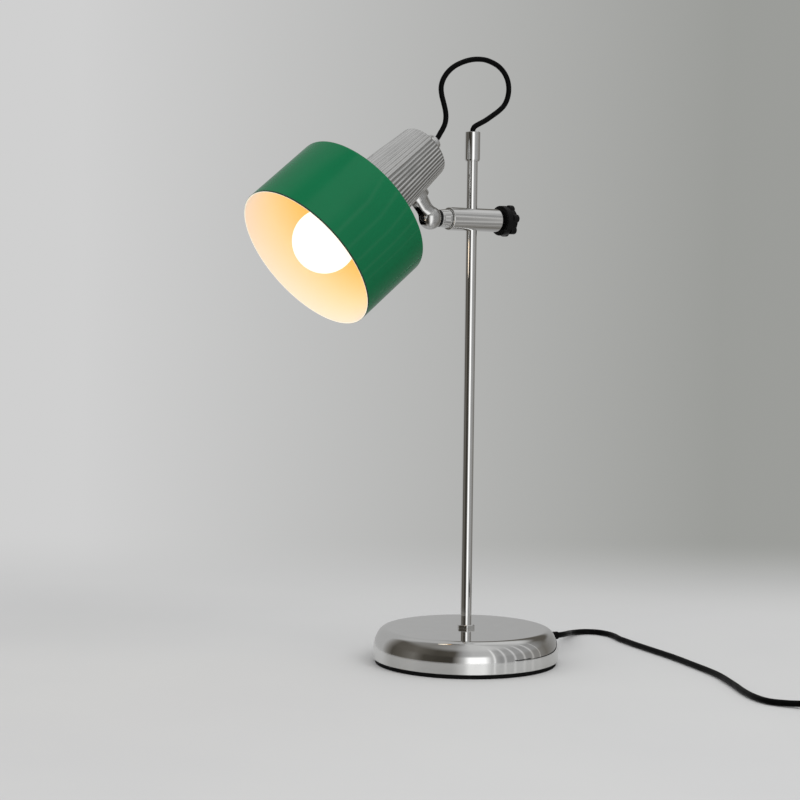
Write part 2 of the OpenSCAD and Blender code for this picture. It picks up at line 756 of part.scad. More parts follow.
module shade_ring() color("#e9e4d2") {
    in_head() translate([0, 0, shade_back - shade_wall - ring_t]) difference() {
        cylinder(r = ring_r, h = ring_t);
        translate([0, 0, -over]) cylinder(r = holder_r + seat, h = ring_t + 2 * over);
    }
}

module lampholder() color("#efece2") {
    in_head() difference() {
        union() {
            translate([0, 0, holder_front]) cylinder(r = holder_r, h = holder_back - holder_front);
            translate([0, 0, shade_back]) cylinder(r = holder_flange_r, h = holder_flange_t);
        }
        translate([0, 0, holder_front - over])
            cylinder(r = holder_r - holder_wall,
                h = over + bulb_cap_t + bulb_cap_len + bulb_tip + 0.1 - holder_front);
        translate([0, 0, holder_back - 14]) cylinder(r = nipple_r + seat, h = 20);
    }
}

module thread_shell() color("#b08d4a") {
    in_head() translate([0, 0, holder_front + 2]) pipe(shell_r, shell_r - shell_wall, shell_len);
}

module bulb_cap() color("#b9bcc0") {
    in_head() translate([0, 0, bulb_cap_t]) {
        cylinder(r = bulb_cap_r, h = bulb_cap_len);
        translate([0, 0, bulb_cap_len - over]) cylinder(r1 = 9, r2 = 5, h = bulb_tip + over);
    }
}

// The bulb's form, set in by a thickness and open at its cap
module bulb_form(in) {
    translate([0, 0, bulb_t]) sphere(r = bulb_r - in);
    translate([0, 0, bulb_t]) cylinder(r1 = bulb_r - 1 - in, r2 = bulb_cap_r - 0.4 - in,
        h = bulb_cap_t - bulb_t + (in > 0 ? 0.01 : 0));
}

module bulb_globe() color("#fff3d6") {
    in_head() difference() {
        bulb_form(0);
        bulb_form(bulb_glass);
    }
}

module holder_nipple() color("#b9bcc0") {
    in_head() translate([0, 0, holder_back - 13.9])
        pipe(nipple_r, nipple_bore, cap_t + 5 - holder_back + 13.9);
}

module gland() color("#c2c5c8") {
    in_head() difference() {
        rotate_extrude() polygon(concat([[0, cap_t], [gland_r, cap_t],
            [gland_r, gland_top - gland_tip_len], [gland_tip_r, gland_top - gland_tip_len + 0.2]],
            arc(gland_tip_r - gland_edge, gland_top - gland_edge, gland_edge, 0, 90, 4),
            [[0, gland_top]]));
        translate([0, 0, cap_t - over]) cylinder(r = nipple_r + seat, h = 6.2 + over);
        translate([0, 0, cap_t]) cylinder(r = loop_r + bush_wall + 2 * seat, h = 20);
    }
}

module gland_bush() color("#161616") {
    in_head() translate([0, 0, cap_t + 6.3])
        pipe(loop_r + seat + bush_wall, loop_r + seat, gland_out - cap_t - 6.3);
}

module head_lead() color("#161616") {
    in_head() translate([0, 0, holder_back - 13.8])
        cylinder(r = lead_r, h = gland_out - holder_back + 13.8);
}

// Loop and mains lead

module loop_cord() color("#161616") {
    tube(smooth(loop_points, 2.5 * loop_d), loop_r, 8, [0, 1, 0]);
}

module mains_cord() color("#161616") {
    tube(smooth(mains_points, 2.5 * cord_d), cord_r, 8, [0, 0, 1]);
}

module link_cord() color("#161616") {
    tube(smooth(link_points, 2.5 * cord_d), cord_r, 8, [0, 0, 1]);
}

module tail_cord() color("#161616") {
    tube(smooth(tail_points, 2.5 * cord_d), cord_r, 8, [0, 0, 1]);
}

module cord_coil() color("#161616") {
    tube(coil_line, cord_r, coil_sides, [0, 0, 1]);
}

// Band that holds the coil's turns together
module coil_tie() color("#2b2b2b") {
    u = (tie_turn + 90) / 360;
    low = coil_r(coil_turns + u) - cord_r - 0.6;
    high = coil_r(u) + cord_r + 0.6;
    tall = layer_step + cord_d + 0.3;
    translate([coil_at.x, coil_at.y, 0]) rotate(tie_turn) translate([low - tie_t, -4, 0.05])
        difference() {
            cube([high - low + 2 * tie_t, 8, tall + 2 * tie_t]);
            translate([tie_t, -over, tie_t - 0.05]) cube([high - low, 8 + 2 * over, tall]);
        }
}

// Switch

module in_switch() {
    translate(switch_at) rotate(switch_turn) children();
}

// Outline of the switch's case from above
module switch_outline(in) {
    l = switch_len / 2 - in;
    w = switch_w / 2 - in;
    c = 5 - in / 2;
    polygon(concat(arc(l - c, w - c, c, 0, 90, 4), arc(c - l, w - c, c, 90, 180, 4),
        arc(c - l, c - w, c, 180, 270, 4), arc(l - c, c - w, c, 270, 360, 4)));
}

module switch_base() color("#181818") {
    in_switch() difference() {
        union() {
            linear_extrude(switch_split) switch_outline(0);
            along_x(-switch_end, 0, switch_z) {
                cylinder(r1 = cord_r + 0.8, r2 = 4.6, h = switch_boot + 2);
                translate([0, 0, 2 * switch_end - switch_boot - 2])
                    cylinder(r1 = 4.6, r2 = cord_r + 0.8, h = switch_boot + 2);
            }
        }
        translate([0, 0, 1.6]) linear_extrude(switch_h) switch_outline(1.6);
        translate([0, 0, switch_split + 10]) cube([switch_len + 0.6, switch_w, 20], center = true);
    }
}

module switch_cover() color("#1c1c1c") {
    in_switch() difference() {
        union() {
            translate([0, 0, switch_split]) linear_extrude(switch_h - switch_split - 1.5)
                switch_outline(0);
            translate([0, 0, switch_h - 1.5]) linear_extrude(1.5) switch_outline(1.2);
        }
        translate([0, 0, switch_split - over])
            linear_extrude(switch_h - switch_roof - switch_split + over) switch_outline(1.6);
        for (s = [-1, 1]) along_x(s > 0 ? switch_len / 2 - 3 : -switch_len / 2 - 3, 0, switch_z)
            cylinder(r = 4.7, h = 6);
        cube([rocker_l + 1.6, rocker_w + 0.8, 4 * switch_h], center = true);
        translate([0, -switch_w / 2 + 3, rocker_z - 2]) rotate([-90, 0, 0])
            cylinder(r = 1 + seat, h = switch_w - 6);
    }
}

module switch_rocker() color("#202020") {
    in_switch() translate([0, 0, rocker_z - 2]) rotate([0, -rocker_tip, 0]) difference() {
        rotate([90, 0, 0]) linear_extrude(rocker_w, center = true) polygon([
            [-rocker_l / 2, -1.5], [rocker_l / 2, -1.5], [rocker_l / 2 - 0.3, 3.2],
            [3, 2.4], [-3, 2.4], [-rocker_l / 2 + 0.3, 3.2]]);
        translate([0, -rocker_w, 0]) rotate([-90, 0, 0]) cylinder(r = 1 + slip, h = 2 * rocker_w);
    }
}

module rocker_pin() color("#b9bcc0") {
    in_switch() translate([0, -switch_w / 2 + 3.1, rocker_z - 2]) rotate([-90, 0, 0])
        cylinder(r = 1, h = switch_w - 6.2);
}

// Plug

module plug_body() color("#181818") {
    w = plug_w / 2;
    translate(plug_at) difference() {
        union() {
            intersection() {
                translate([0, 0, -plug_t / 2 + 0.05]) linear_extrude(plug_t - 0.1)
                    polygon([[-7, 0], [7, 0], [w, 12], [w, plug_body_len - 3],
                        [w - 3, plug_body_len], [3 - w, plug_body_len],
                        [-w, plug_body_len - 3], [-w, 12]]);
                rotate([-90, 0, 0]) linear_extrude(plug_body_len) polygon([
                    [-w + 4, -plug_t / 2], [w - 4, -plug_t / 2], [w, -2], [w, 2],
                    [w - 4, plug_t / 2], [-w + 4, plug_t / 2], [-w, 2], [-w, -2]]);
            }
            translate([0, -plug_boot, 0]) rotate([-90, 0, 0])
                cylinder(r1 = cord_r + 0.9, r2 = 5.5, h = plug_boot + 1);
        }
        for (s = [-1, 1]) translate([s * pin_gap / 2, plug_body_len - 8, 0]) rotate([-90, 0, 0])
            cylinder(r = plug_pin_r + seat, h = 10);
    }
}

module plug_pins() color("#c9ccd0") {
    translate(plug_at) for (s = [-1, 1]) translate([s * pin_gap / 2, plug_body_len - 7.9, 0])
        rotate([-90, 0, 0]) {
            cylinder(r = plug_pin_r, h = pin_len + 7.9 - 1);
            translate([0, 0, pin_len + 6.9]) cylinder(r1 = plug_pin_r, r2 = 1.2, h = 1);
        }
}

base_shell();
base_weight();
base_pad();
stem();
foot_nut();
under_washer();
under_nut();
stem_ferrule();
ferrule_bush();
inner_lead();
cord_boot();
stem_liner();
clamp_barrel();
collar_screw();
pressure_shoe();
clamp_screw();
star_knob();
swivel_collar();
friction_cup();
swivel_stud();
stud_nut();
swivel_knuckle();
tilt_pin();
knuckle_screws();
head_cap();
shade();
shade_ring();
lampholder();
thread_shell();
bulb_cap();
bulb_globe();
holder_nipple();
gland();
gland_bush();
head_lead();
loop_cord();
mains_cord();
switch_base();
switch_cover();
switch_rocker();
rocker_pin();
link_cord();
cord_coil();
coil_tie();
tail_cord();
plug_body();
plug_pins();
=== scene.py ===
"""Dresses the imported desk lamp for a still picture.

Sizes are in millimetres in the lamp's own frame until a mesh is made: Z up, the
origin in the middle of the base's underside, X towards the star knob.
"""
import math

import bpy
from mathutils import Matrix, Vector


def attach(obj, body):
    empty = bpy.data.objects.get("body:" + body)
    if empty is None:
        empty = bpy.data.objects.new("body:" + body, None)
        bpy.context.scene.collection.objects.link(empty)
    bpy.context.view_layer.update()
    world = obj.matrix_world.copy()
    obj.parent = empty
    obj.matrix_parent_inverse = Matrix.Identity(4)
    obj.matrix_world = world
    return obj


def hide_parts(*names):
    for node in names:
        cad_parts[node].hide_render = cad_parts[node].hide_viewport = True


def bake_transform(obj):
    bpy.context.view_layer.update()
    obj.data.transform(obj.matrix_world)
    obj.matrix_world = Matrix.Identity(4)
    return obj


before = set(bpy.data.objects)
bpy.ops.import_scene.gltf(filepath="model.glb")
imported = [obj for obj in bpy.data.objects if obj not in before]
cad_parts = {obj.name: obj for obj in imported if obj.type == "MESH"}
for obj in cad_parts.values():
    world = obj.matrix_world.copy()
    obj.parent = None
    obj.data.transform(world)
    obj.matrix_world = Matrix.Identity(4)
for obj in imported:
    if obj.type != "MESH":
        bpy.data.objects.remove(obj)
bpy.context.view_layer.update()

MM = 0.001
AROUND = 128  # steps round a turned piece
SUPPORT = 0.25  # from a long line's end to the point that keeps its flat from tinting
FIT = 0.05  # between parts that sit on each other

# ---- Sizes that part.scad gives to the same pieces ----

BASE_R, BASE_H, BASE_WALL = 85, 32, 1.2
BASE_LOW, SIDE_Z, SIDE_ROUND, TOP_ROUND = 3.9, 13, 26, 9
EXIT_Z = 14.5
STEM_R, STEM_LOW, STEM_TOP = 5, 5, 480
FERRULE_R, FERRULE_Z, LAMP_H = 7, 459.3, 486
LEAD_TOP = 486.5
NUT_AF, NUT_H = 15, 3.2
CLAMP_Z = 406.6
BARREL_R, BARREL_NEAR, BARREL_FAR, BARREL_BORE_R, POCKET_END = 10.5, 27, 29.5, 4, 7.5
COLLAR_FACE, COLLAR_BACK, COLLAR_R, COLLAR_TIP_R, SPIGOT_R = 37.5, 27.4, 8.6, 7.8, 7
CUP_BOSS_R, CUP_BACK, SPIGOT_END = 6.5, 2, 14
SKIRT_X, LOBES_X, KNOB_X = 32.5, 38.75, 45.5
KNOB_R, KNOB_CORE_R, LOBE_R, KNOB_LOBES, LOBE_TURN = 15, 12.3, 3.9, 6, 20
PIVOT = Vector((-47, 0, CLAMP_Z))
SLOT_REACH, SLOT_HALF = 10.35, 5.2
HEAD_SLOPE, HEAD_DROP, KNUCKLE_T = 38.2, 51.7, 129
SHADE_R, SHADE_WALL, SHADE_LEN, SHADE_ROUND, SHADE_HOLE_R = 71, 1, 74.5, 2.5, 19.4
CAP_FRONT, CAP_T, CAP_FRONT_R, CAP_BACK_R, CAP_ROUND, CAP_WALL = 74.6, 161, 31.8, 24.9, 4, 2.2
CAP_FLAT_R, CAP_HOLLOW_R = 14, 19.7
FLUTES, FLUTE_R, FLUTE_DEPTH = 48, 1.5, 0.8
GLAND_R, GLAND_TIP_R, GLAND_LEN, GLAND_EDGE = 7.5, 7.2, 13.5, 0.8
BULB_R, BULB_T, BULB_CAP_T = 28, 25, 61
CORD_D, LOOP_D = 5.4, 4.8
BOOT_IN_X, BOOT_TIP_X = 81, 111
LIE = CORD_D / 2 + FIT
CORD_LEAD = 1.2
STEM_BORE_R, STUD_BORE_R, NIPPLE_BORE_R, GLAND_BORE_R = 3.5, 3.6, 5.05, 3.5

# Places in the head are given along its axis from the shade's rim
HEAD = (
    Matrix.Translation(PIVOT)
    @ Matrix.Rotation(math.radians(90 - HEAD_SLOPE), 4, "Y")
    @ Matrix.Translation((-HEAD_DROP, 0, -KNUCKLE_T))
)
ALONG_X = Matrix.Translation((0, 0, CLAMP_Z)) @ Matrix.Rotation(math.radians(90), 4, "Y")
UPRIGHT = Matrix()


# ---- Mesh helpers ----


def arc(cx, cy, r, start, end, n):
    """Points of an arc, angles in degrees."""
    angles = [math.radians(start + (end - start) * i / n) for i in range(n + 1)]
    return [(cx + r * math.cos(a), cy + r * math.sin(a)) for a in angles]


def mesh_object(name, points, faces, body, materials, place=UPRIGHT, sharp=35, slots=None):
    """A smooth-shaded mesh from points in millimetres, riding on a body."""
    mesh = bpy.data.meshes.new(name)
    mesh.from_pydata([place @ Vector(p) * MM for p in points], [], faces)
    mesh.validate()
    for m in materials:
        mesh.materials.append(m)
    if slots:
        mesh.polygons.foreach_set("material_index", slots)
    mesh.shade_smooth()
    mesh.set_sharp_from_angle(angle=math.radians(sharp))
    obj = bpy.data.objects.new(name, mesh)
    bpy.context.scene.collection.objects.link(obj)
    if body:
        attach(obj, body)
    return obj


def loft(rings, closed=False):
    """Points and faces of rings of equal length, ended with fans unless closed."""
    n = len(rings[0])
    points = [p for ring in rings for p in ring]
    faces = []
    pairs = len(rings) if closed else len(rings) - 1
    for i in range(pairs):
        a, b = i * n, (i + 1) % len(rings) * n
        for k in range(n):
            j = (k + 1) % n
            faces.append((a + k, a + j, b + j, b + k))
    if not closed:
        for ring, turn in ((0, -1), (len(rings) - 1, 1)):
            middle = sum((Vector(p) for p in rings[ring]), Vector()) / n
            points.append(middle)
            for k in range(n):
                edge = (ring * n + k, ring * n + (k + 1) % n)
                faces.append((*edge[::turn], len(points) - 1))
    return points, faces


def supported(profile, closed):
    """Adds points beside the ends of long lines, so that rounds don't tint the flats."""
    out = []
    ends = profile[1:] + (profile[:1] if closed else [])
    for (r0, z0), (r1, z1) in zip(profile, ends):
        out.append((r0, z0))
        far = math.hypot(r1 - r0, z1 - z0)
        if far > 5 * SUPPORT:
            for t in (SUPPORT / far, 1 - SUPPORT / far):
                out.append((r0 + (r1 - r0) * t, z0 + (z1 - z0) * t))
    return out if closed else out + profile[-1:]


def lathe(name, profile, body, materials, place=UPRIGHT, closed=False, around=AROUND, **more):
    """Turns a profile of (radius, height) about the axis of its place."""
    rings = []
    if not more.get("slots"):
        profile = supported(profile, closed)
    for r, z in profile:
        ring = []
        for k in range(around):
            a = 2 * math.pi * k / around
            ring.append((r * math.cos(a), r * math.sin(a), z))
        rings.append(ring)
    points, faces = loft(rings, closed)
    return mesh_object(name, points, faces, body, materials, place, **more)


def hermite(p, i, t):
    """A point of the smooth curve that part.scad draws through a route."""
    a = p[i - 1] if i > 0 else 2 * p[0] - p[1]
    b, c = p[i], p[i + 1]
    d = p[i + 2] if i < len(p) - 2 else 2 * p[i + 1] - p[i]
    return 0.5 * (2 * b + (c - a) * t + (2 * a - 5 * b + 4 * c - d) * t * t
                  + (3 * b - a - 3 * c + d) * t ** 3)


def smooth(route, gap):
    p = [Vector(q) for q in route]
    line = []
    for i in range(len(p) - 1):
        n = max(1, round((p[i + 1] - p[i]).length / gap))
        line += [hermite(p, i, k / n) for k in range(n)]
    return line + [p[-1]]


def length(line):
    return sum((b - a).length for a, b in zip(line, line[1:]))


def stretch(line, start, end):
    """The part of a line between two lengths along it."""
    out, run = [], 0
    for a, b in zip(line, line[1:]):
        step = (b - a).length
        for at in (start, end):
            if run <= at < run + step:
                out.append(a.lerp(b, (at - run) / step))
        run += step
        if start < run < end - 0.01:
            out.append(b)
    if end >= run - 0.01 and (out[-1] - line[-1]).length > 0.01:
        out.append(line[-1])
    return out


def tube(name, line, r, body, materials, sides=16):
    """A round tube along a line, with its ends closed."""
    way = [(line[min(i + 1, len(line) - 1)] - line[max(i - 1, 0)]).normalized()
           for i in range(len(line))]
    side = way[0].orthogonal().normalized()
    rings = []
    for p, w in zip(line, way):
        side = (side - w * side.dot(w)).normalized()
        up = w.cross(side)
        ring = []
        for k in range(sides):
            a = 2 * math.pi * k / sides
            ring.append(p + r * (math.cos(a) * side + math.sin(a) * up))
        rings.append(ring)
    points, faces = loft(rings)
    return mesh_object(name, points, faces, body, materials, sharp=60)


# ---- Materials ----

NOISE_LOW, NOISE_HIGH, BUMP_STRENGTH = 0.3, 0.7, 0.4


def new_material(name, color, metallic=0.0, roughness=0.5, **sockets):
    m = bpy.data.materials.new(name)
    m.use_nodes = True
    shader = m.node_tree.nodes["Principled BSDF"]
    shader.inputs["Base Color"].default_value = (*color, 1)
    shader.inputs["Metallic"].default_value = metallic
    shader.inputs["Roughness"].default_value = roughness
    for key, value in sockets.items():
        shader.inputs[key.replace("_", " ")].default_value = value
    return m


def add(m, kind, **inputs):
    n = m.node_tree.nodes.new(kind)
    for key, value in inputs.items():
        n.inputs[key.replace("_", " ")].default_value = value
    return n


def link(m, out, into):
    m.node_tree.links.new(out, into)


def noise(m, scale, detail=3.0, stretch_by=(1, 1, 1)):
    place = m.node_tree.nodes.new("ShaderNodeTexCoord")
    mapping = add(m, "ShaderNodeMapping", Scale=stretch_by)
    n = add(m, "ShaderNodeTexNoise", Scale=scale, Detail=detail)
    link(m, place.outputs["Object"], mapping.inputs["Vector"])
    link(m, mapping.outputs["Vector"], n.inputs["Vector"])
    return n.outputs["Fac"]


def spread(m, value, low, high):
    """Maps a noise to a range."""
    n = add(m, "ShaderNodeMapRange", From_Min=NOISE_LOW, From_Max=NOISE_HIGH,
            To_Min=low, To_Max=high)
    link(m, value, n.inputs["Value"])
    return n.outputs["Result"]


def vary(m, scale, roughness=None, color=None, bump=None, detail=3.0, stretch_by=(1, 1, 1)):
    """Breaks up a material: a range of roughness, a second colour, a bump height."""
    shader = m.node_tree.nodes["Principled BSDF"]
    value = noise(m, scale, detail, stretch_by)
    if roughness:
        link(m, spread(m, value, *roughness), shader.inputs["Roughness"])
    if color:
        mix = m.node_tree.nodes.new("ShaderNodeMix")
        mix.data_type = "RGBA"
        mix.inputs["A"].default_value = shader.inputs["Base Color"].default_value
        mix.inputs["B"].default_value = (*color, 1)
        link(m, spread(m, value, 0, 1), mix.inputs["Factor"])
        link(m, mix.outputs["Result"], shader.inputs["Base Color"])
    if bump:
        b = add(m, "ShaderNodeBump", Strength=BUMP_STRENGTH, Distance=bump)
        link(m, value, b.inputs["Height"])
        link(m, b.outputs["Normal"], shader.inputs["Normal"])
    return m


chrome = vary(new_material("chrome", (0.80, 0.80, 0.79), 1, 0.05), 60,
              roughness=(0.035, 0.075), color=(0.83, 0.83, 0.82))
satin = vary(new_material("fluted_metal", (0.76, 0.76, 0.75), 1, 0.09), 90,
             roughness=(0.07, 0.12), color=(0.80, 0.80, 0.79), stretch_by=(1, 1, 0.2))
# Painted shade: a darker metal for the flutes' floors on the cap's shaded side
groove_painted_shade = vary(new_material("groove_painted_shade", (0.34, 0.34, 0.33), 1, 0.2), 90,
                    roughness=(0.16, 0.26), color=(0.40, 0.40, 0.39))
green = vary(new_material("shade_green", (0.003, 0.120, 0.045), 0, 0.5, Coat_Weight=0.6,
                          Coat_Roughness=0.03, Specular_IOR_Level=0.0), 25,
             color=(0.003, 0.128, 0.048), bump=0.00001)
# Painted shade: a dark green band round the outside of the rim
rim_painted_shade = vary(new_material("rim_painted_shade", (0.006, 0.03, 0.016), 0, 0.5), 60,
                 roughness=(0.45, 0.6))
pad_black = vary(new_material("pad_black", (0.003, 0.003, 0.003), 0, 0.9,
                              Specular_IOR_Level=0.1), 900,
                 roughness=(0.8, 0.95), color=(0.006, 0.006, 0.006), bump=0.0002)
cord_black = vary(new_material("cord_black", (0.0015, 0.0015, 0.0015), 0, 0.42,
                               Specular_IOR_Level=0.06), 120,
                  roughness=(0.34, 0.5), color=(0.0025, 0.0025, 0.0025), bump=0.00005)
plastic_black = vary(new_material("plastic_black", (0.003, 0.003, 0.003), 0, 0.3,
                                  Specular_IOR_Level=0.14), 300,
                     roughness=(0.22, 0.38), color=(0.005, 0.005, 0.005), bump=0.00004)
black_oxide = vary(new_material("black_oxide", (0.012, 0.012, 0.013), 0.6, 0.35), 200,
                   roughness=(0.3, 0.45))
steel = vary(new_material("steel", (0.56, 0.56, 0.57), 1, 0.3), 150,
             roughness=(0.25, 0.4), color=(0.62, 0.62, 0.62))
iron = vary(new_material("iron", (0.10, 0.10, 0.105), 0.7, 0.7), 200,
            roughness=(0.6, 0.85), color=(0.15, 0.14, 0.135), bump=0.0003)
brass = vary(new_material("brass", (0.72, 0.52, 0.22), 1, 0.25), 150,
             roughness=(0.2, 0.35), color=(0.66, 0.46, 0.18))
nylon = vary(new_material("nylon", (0.03, 0.03, 0.03), 0, 0.5), 200,
             roughness=(0.45, 0.6), color=(0.045, 0.045, 0.045))
holder_white = vary(new_material("holder_white", (0.80, 0.77, 0.70), 0, 0.35), 100,
                    roughness=(0.3, 0.42), color=(0.84, 0.80, 0.72))
nickel = vary(new_material("nickel", (0.70, 0.68, 0.63), 1, 0.2), 150,
              roughness=(0.15, 0.3), color=(0.74, 0.72, 0.68))


def along_head(m, first, last):
    """0 to 1 between two places along the head's axis."""
    origin = HEAD @ Vector((0, 0, first))
    axis = HEAD.to_3x3().col[2] / ((last - first) * MM)
    place = m.node_tree.nodes.new("ShaderNodeTexCoord")
    dot = m.node_tree.nodes.new("ShaderNodeVectorMath")
    dot.operation = "DOT_PRODUCT"
    dot.inputs[1].default_value = axis
    link(m, place.outputs["Object"], dot.inputs[0])
    shift = m.node_tree.nodes.new("ShaderNodeMath")
    shift.use_clamp = True
    shift.inputs[1].default_value = -(origin * MM).dot(axis)
    link(m, dot.outputs["Value"], shift.inputs[0])
    return shift.outputs[0]


def cream_painted_light():
    """Painted light for the bulb: the cream inside is warmer the deeper it is, and has a painted
    glow.
    """
    m = new_material("shade_inside", (0.88, 0.84, 0.70), 0, 0.45, Emission_Strength=0.30)
    vary(m, 40, roughness=(0.4, 0.5))
    shader = m.node_tree.nodes["Principled BSDF"]
    ramp = m.node_tree.nodes.new("ShaderNodeValToRGB")
    colours = ((0.0, (0.88, 0.74, 0.62)), (0.4, (0.88, 0.69, 0.43)), (0.85, (0.90, 0.60, 0.20)))
    while len(ramp.color_ramp.elements) < len(colours):
        ramp.color_ramp.elements.new(0.5)
    for e, (at, colour) in zip(ramp.color_ramp.elements, colours):
        e.position = at
        e.color = (*colour, 1)
    link(m, along_head(m, 0, SHADE_LEN), ramp.inputs["Fac"])
    link(m, ramp.outputs["Color"], shader.inputs["Base Color"])
    link(m, ramp.outputs["Color"], shader.inputs["Emission Color"])
    return m


def lit_glass():
    m = new_material("lit_glass", (0.45, 0.42, 0.36), 0, 0.4, Emission_Strength=0.98)
    shader = m.node_tree.nodes["Principled BSDF"]
    mix = m.node_tree.nodes.new("ShaderNodeMix")
    mix.data_type = "RGBA"
    mix.inputs["A"].default_value = (1.0, 0.95, 0.83, 1)
    mix.inputs["B"].default_value = (1.0, 0.96, 0.85, 1)
    link(m, spread(m, noise(m, 30), 0, 1), mix.inputs["Factor"])
    link(m, mix.outputs["Result"], shader.inputs["Emission Color"])
    return m


def chrome_painted_slot_shade():
    """Chrome, with painted shade: the inside of the slot that the stud stands in is painted dark.
    """
    m = vary(new_material("chrome_painted_slot_shade", (0.62, 0.62, 0.61), 1, 0.16), 60,
             roughness=(0.13, 0.19), color=(0.66, 0.66, 0.65))
    shader = m.node_tree.nodes["Principled BSDF"]
    place = m.node_tree.nodes.new("ShaderNodeTexCoord")
    near = m.node_tree.nodes.new("ShaderNodeVectorMath")
    near.operation = "DISTANCE"
    near.inputs[1].default_value = PIVOT * MM
    link(m, place.outputs["Object"], near.inputs[0])
    parts = m.node_tree.nodes.new("ShaderNodeSeparateXYZ")
    link(m, place.outputs["Object"], parts.inputs[0])
    flat = m.node_tree.nodes.new("ShaderNodeMath")
    flat.operation = "ABSOLUTE"
    link(m, parts.outputs["Y"], flat.inputs[0])
    tests = []
    for value, limit in ((near.outputs["Value"], SLOT_REACH), (flat.outputs[0], SLOT_HALF)):
        n = m.node_tree.nodes.new("ShaderNodeMath")
        n.operation = "LESS_THAN"
        n.inputs[1].default_value = limit * MM
        link(m, value, n.inputs[0])
        tests.append(n.outputs[0])
    both = m.node_tree.nodes.new("ShaderNodeMath")
    both.operation = "MULTIPLY"
    for i, test in enumerate(tests):
        link(m, test, both.inputs[i])
    mix = m.node_tree.nodes.new("ShaderNodeMix")
    mix.data_type = "RGBA"
    link(m, both.outputs[0], mix.inputs["Factor"])
    link(m, shader.inputs["Base Color"].links[0].from_socket, mix.inputs["A"])
    # Painted shade inside the slot
    mix.inputs["B"].default_value = (0.012, 0.012, 0.012, 1)
    link(m, mix.outputs["Result"], shader.inputs["Base Color"])
    return m


slotted = chrome_painted_slot_shade()
# Painted light: the shade's inside glows and is painted warmer deeper in
inside = cream_painted_light()
glass = lit_glass()
# Painted light: the rim's inner lip glows cream
lip = vary(new_material("lip_painted_glow", (0.90, 0.86, 0.72), 0, 0.4, Emission_Strength=0.35,
                        Emission_Color=(1.0, 0.93, 0.72, 1)), 60, roughness=(0.35, 0.45))

# ---- Camera, at the photograph's place ----

SENSOR = 36
FOCAL_PX, PICTURE_PX = 1967.8, 800
FOCAL = FOCAL_PX / PICTURE_PX * SENSOR
AZIMUTH, PITCH, ROLL = math.radians(-35.9), math.radians(3.071), math.radians(0.693)
DISTANCE, ASIDE, CAMERA_Z = 1799.9, 63.2, 337.7

right = Vector((math.cos(AZIMUTH), math.sin(AZIMUTH), 0))
ahead = Vector((-math.sin(AZIMUTH), math.cos(AZIMUTH), 0))
up = Vector((0, 0, 1))
look = ahead * math.cos(PITCH) - up * math.sin(PITCH)
tilted_up = up * math.cos(PITCH) + ahead * math.sin(PITCH)
camera_right = right * math.cos(ROLL) + tilted_up * math.sin(ROLL)
camera_up = tilted_up * math.cos(ROLL) - right * math.sin(ROLL)

camera_data = bpy.data.cameras.new("camera")
camera_data.sensor_width = SENSOR
camera_data.lens = FOCAL
camera = bpy.data.objects.new("camera", camera_data)
bpy.context.scene.collection.objects.link(camera)
bpy.context.scene.camera = camera
axes = Matrix((camera_right, camera_up, -look)).transposed()
place_of_camera = (-ahead * DISTANCE - right * ASIDE + up * CAMERA_Z) * MM
camera.matrix_world = Matrix.Translation(place_of_camera) @ axes.to_4x4()

# ---- Cords ----

gland_mouth = HEAD @ Vector((0, 0, CAP_T + GLAND_LEN + 0.4))
loop_rise = [
    (0, 0), (0, 1.4), (1.4, 3.9), (6.2, 6.7), (13.8, 10.4), (22.3, 15.5), (30, 20.5), (36.2, 26),
    (40, 33), (41.3, 40.8), (40, 48.3), (35.9, 55.2), (29.3, 60.6), (20.8, 64), (12.3, 65.6),
    (3.3, 65.4), (-5.6, 63.8), (-14.4, 60.8), (-22.6, 56.7), (-29.4, 51.2), (-34.3, 44.7),
    (-36.6, 37.6), (-35.9, 30.7), (-33.7, 24), (-31.6, 17.3), (-30.8, 11.4), (-31.6, 5.6),
    (-34, 0.6), (-37, -3.8),
]
loop_route = [Vector((x, 0, LEAD_TOP + z)) for x, z in loop_rise] + [
    gland_mouth + Vector((3.2, 0, 3)), gland_mouth + HEAD.to_3x3().col[2] * CORD_LEAD, gland_mouth,
]

SWITCH_TURN, SWITCH_Z = math.radians(-60), 5.5
SWITCH_LEN, SWITCH_BOOT = 62, 9
SWITCH_END = SWITCH_LEN / 2 + SWITCH_BOOT
switch_way = Vector((math.cos(SWITCH_TURN), math.sin(SWITCH_TURN), 0))
switch_from = Vector((120, -333, SWITCH_Z))
switch_to = switch_from + switch_way * 2 * SWITCH_END

mains_route = [
    (BOOT_TIP_X, 0, EXIT_Z), (BOOT_TIP_X + CORD_LEAD, 0, EXIT_Z), (118.5, 2, 14.1), (128, 8, 13),
    (140, 18, 11), (153, 32, 8), (165, 45, 5), (179, 53, 3.3), (192, 53, LIE), (201, 44, LIE),
    (203, 31, LIE), (200, 17, LIE), (194, 3, LIE), (190, -12, LIE), (186, -27, LIE),
    (179, -58, LIE), (171, -94, LIE), (160, -132, LIE), (145, -179, LIE), (125, -219, LIE),
    (110, -246, LIE), (100, -269, 2.8), (97, -288, 2.9), (104, -305, 3.4), (113, -321, 4.8),
    switch_from - switch_way * CORD_LEAD, switch_from,
]

COIL_X, COIL_Y, COIL_OUT_R, COIL_PITCH, LAYER_STEP, COIL_TURNS = 212, -375, 40, 6, 6, 3
TIE_T = 0.6
COIL_LOW = LIE + TIE_T + FIT
COIL_IN_R = COIL_OUT_R - COIL_PITCH * COIL_TURNS
COIL_LAST = 2 * COIL_TURNS + 0.25


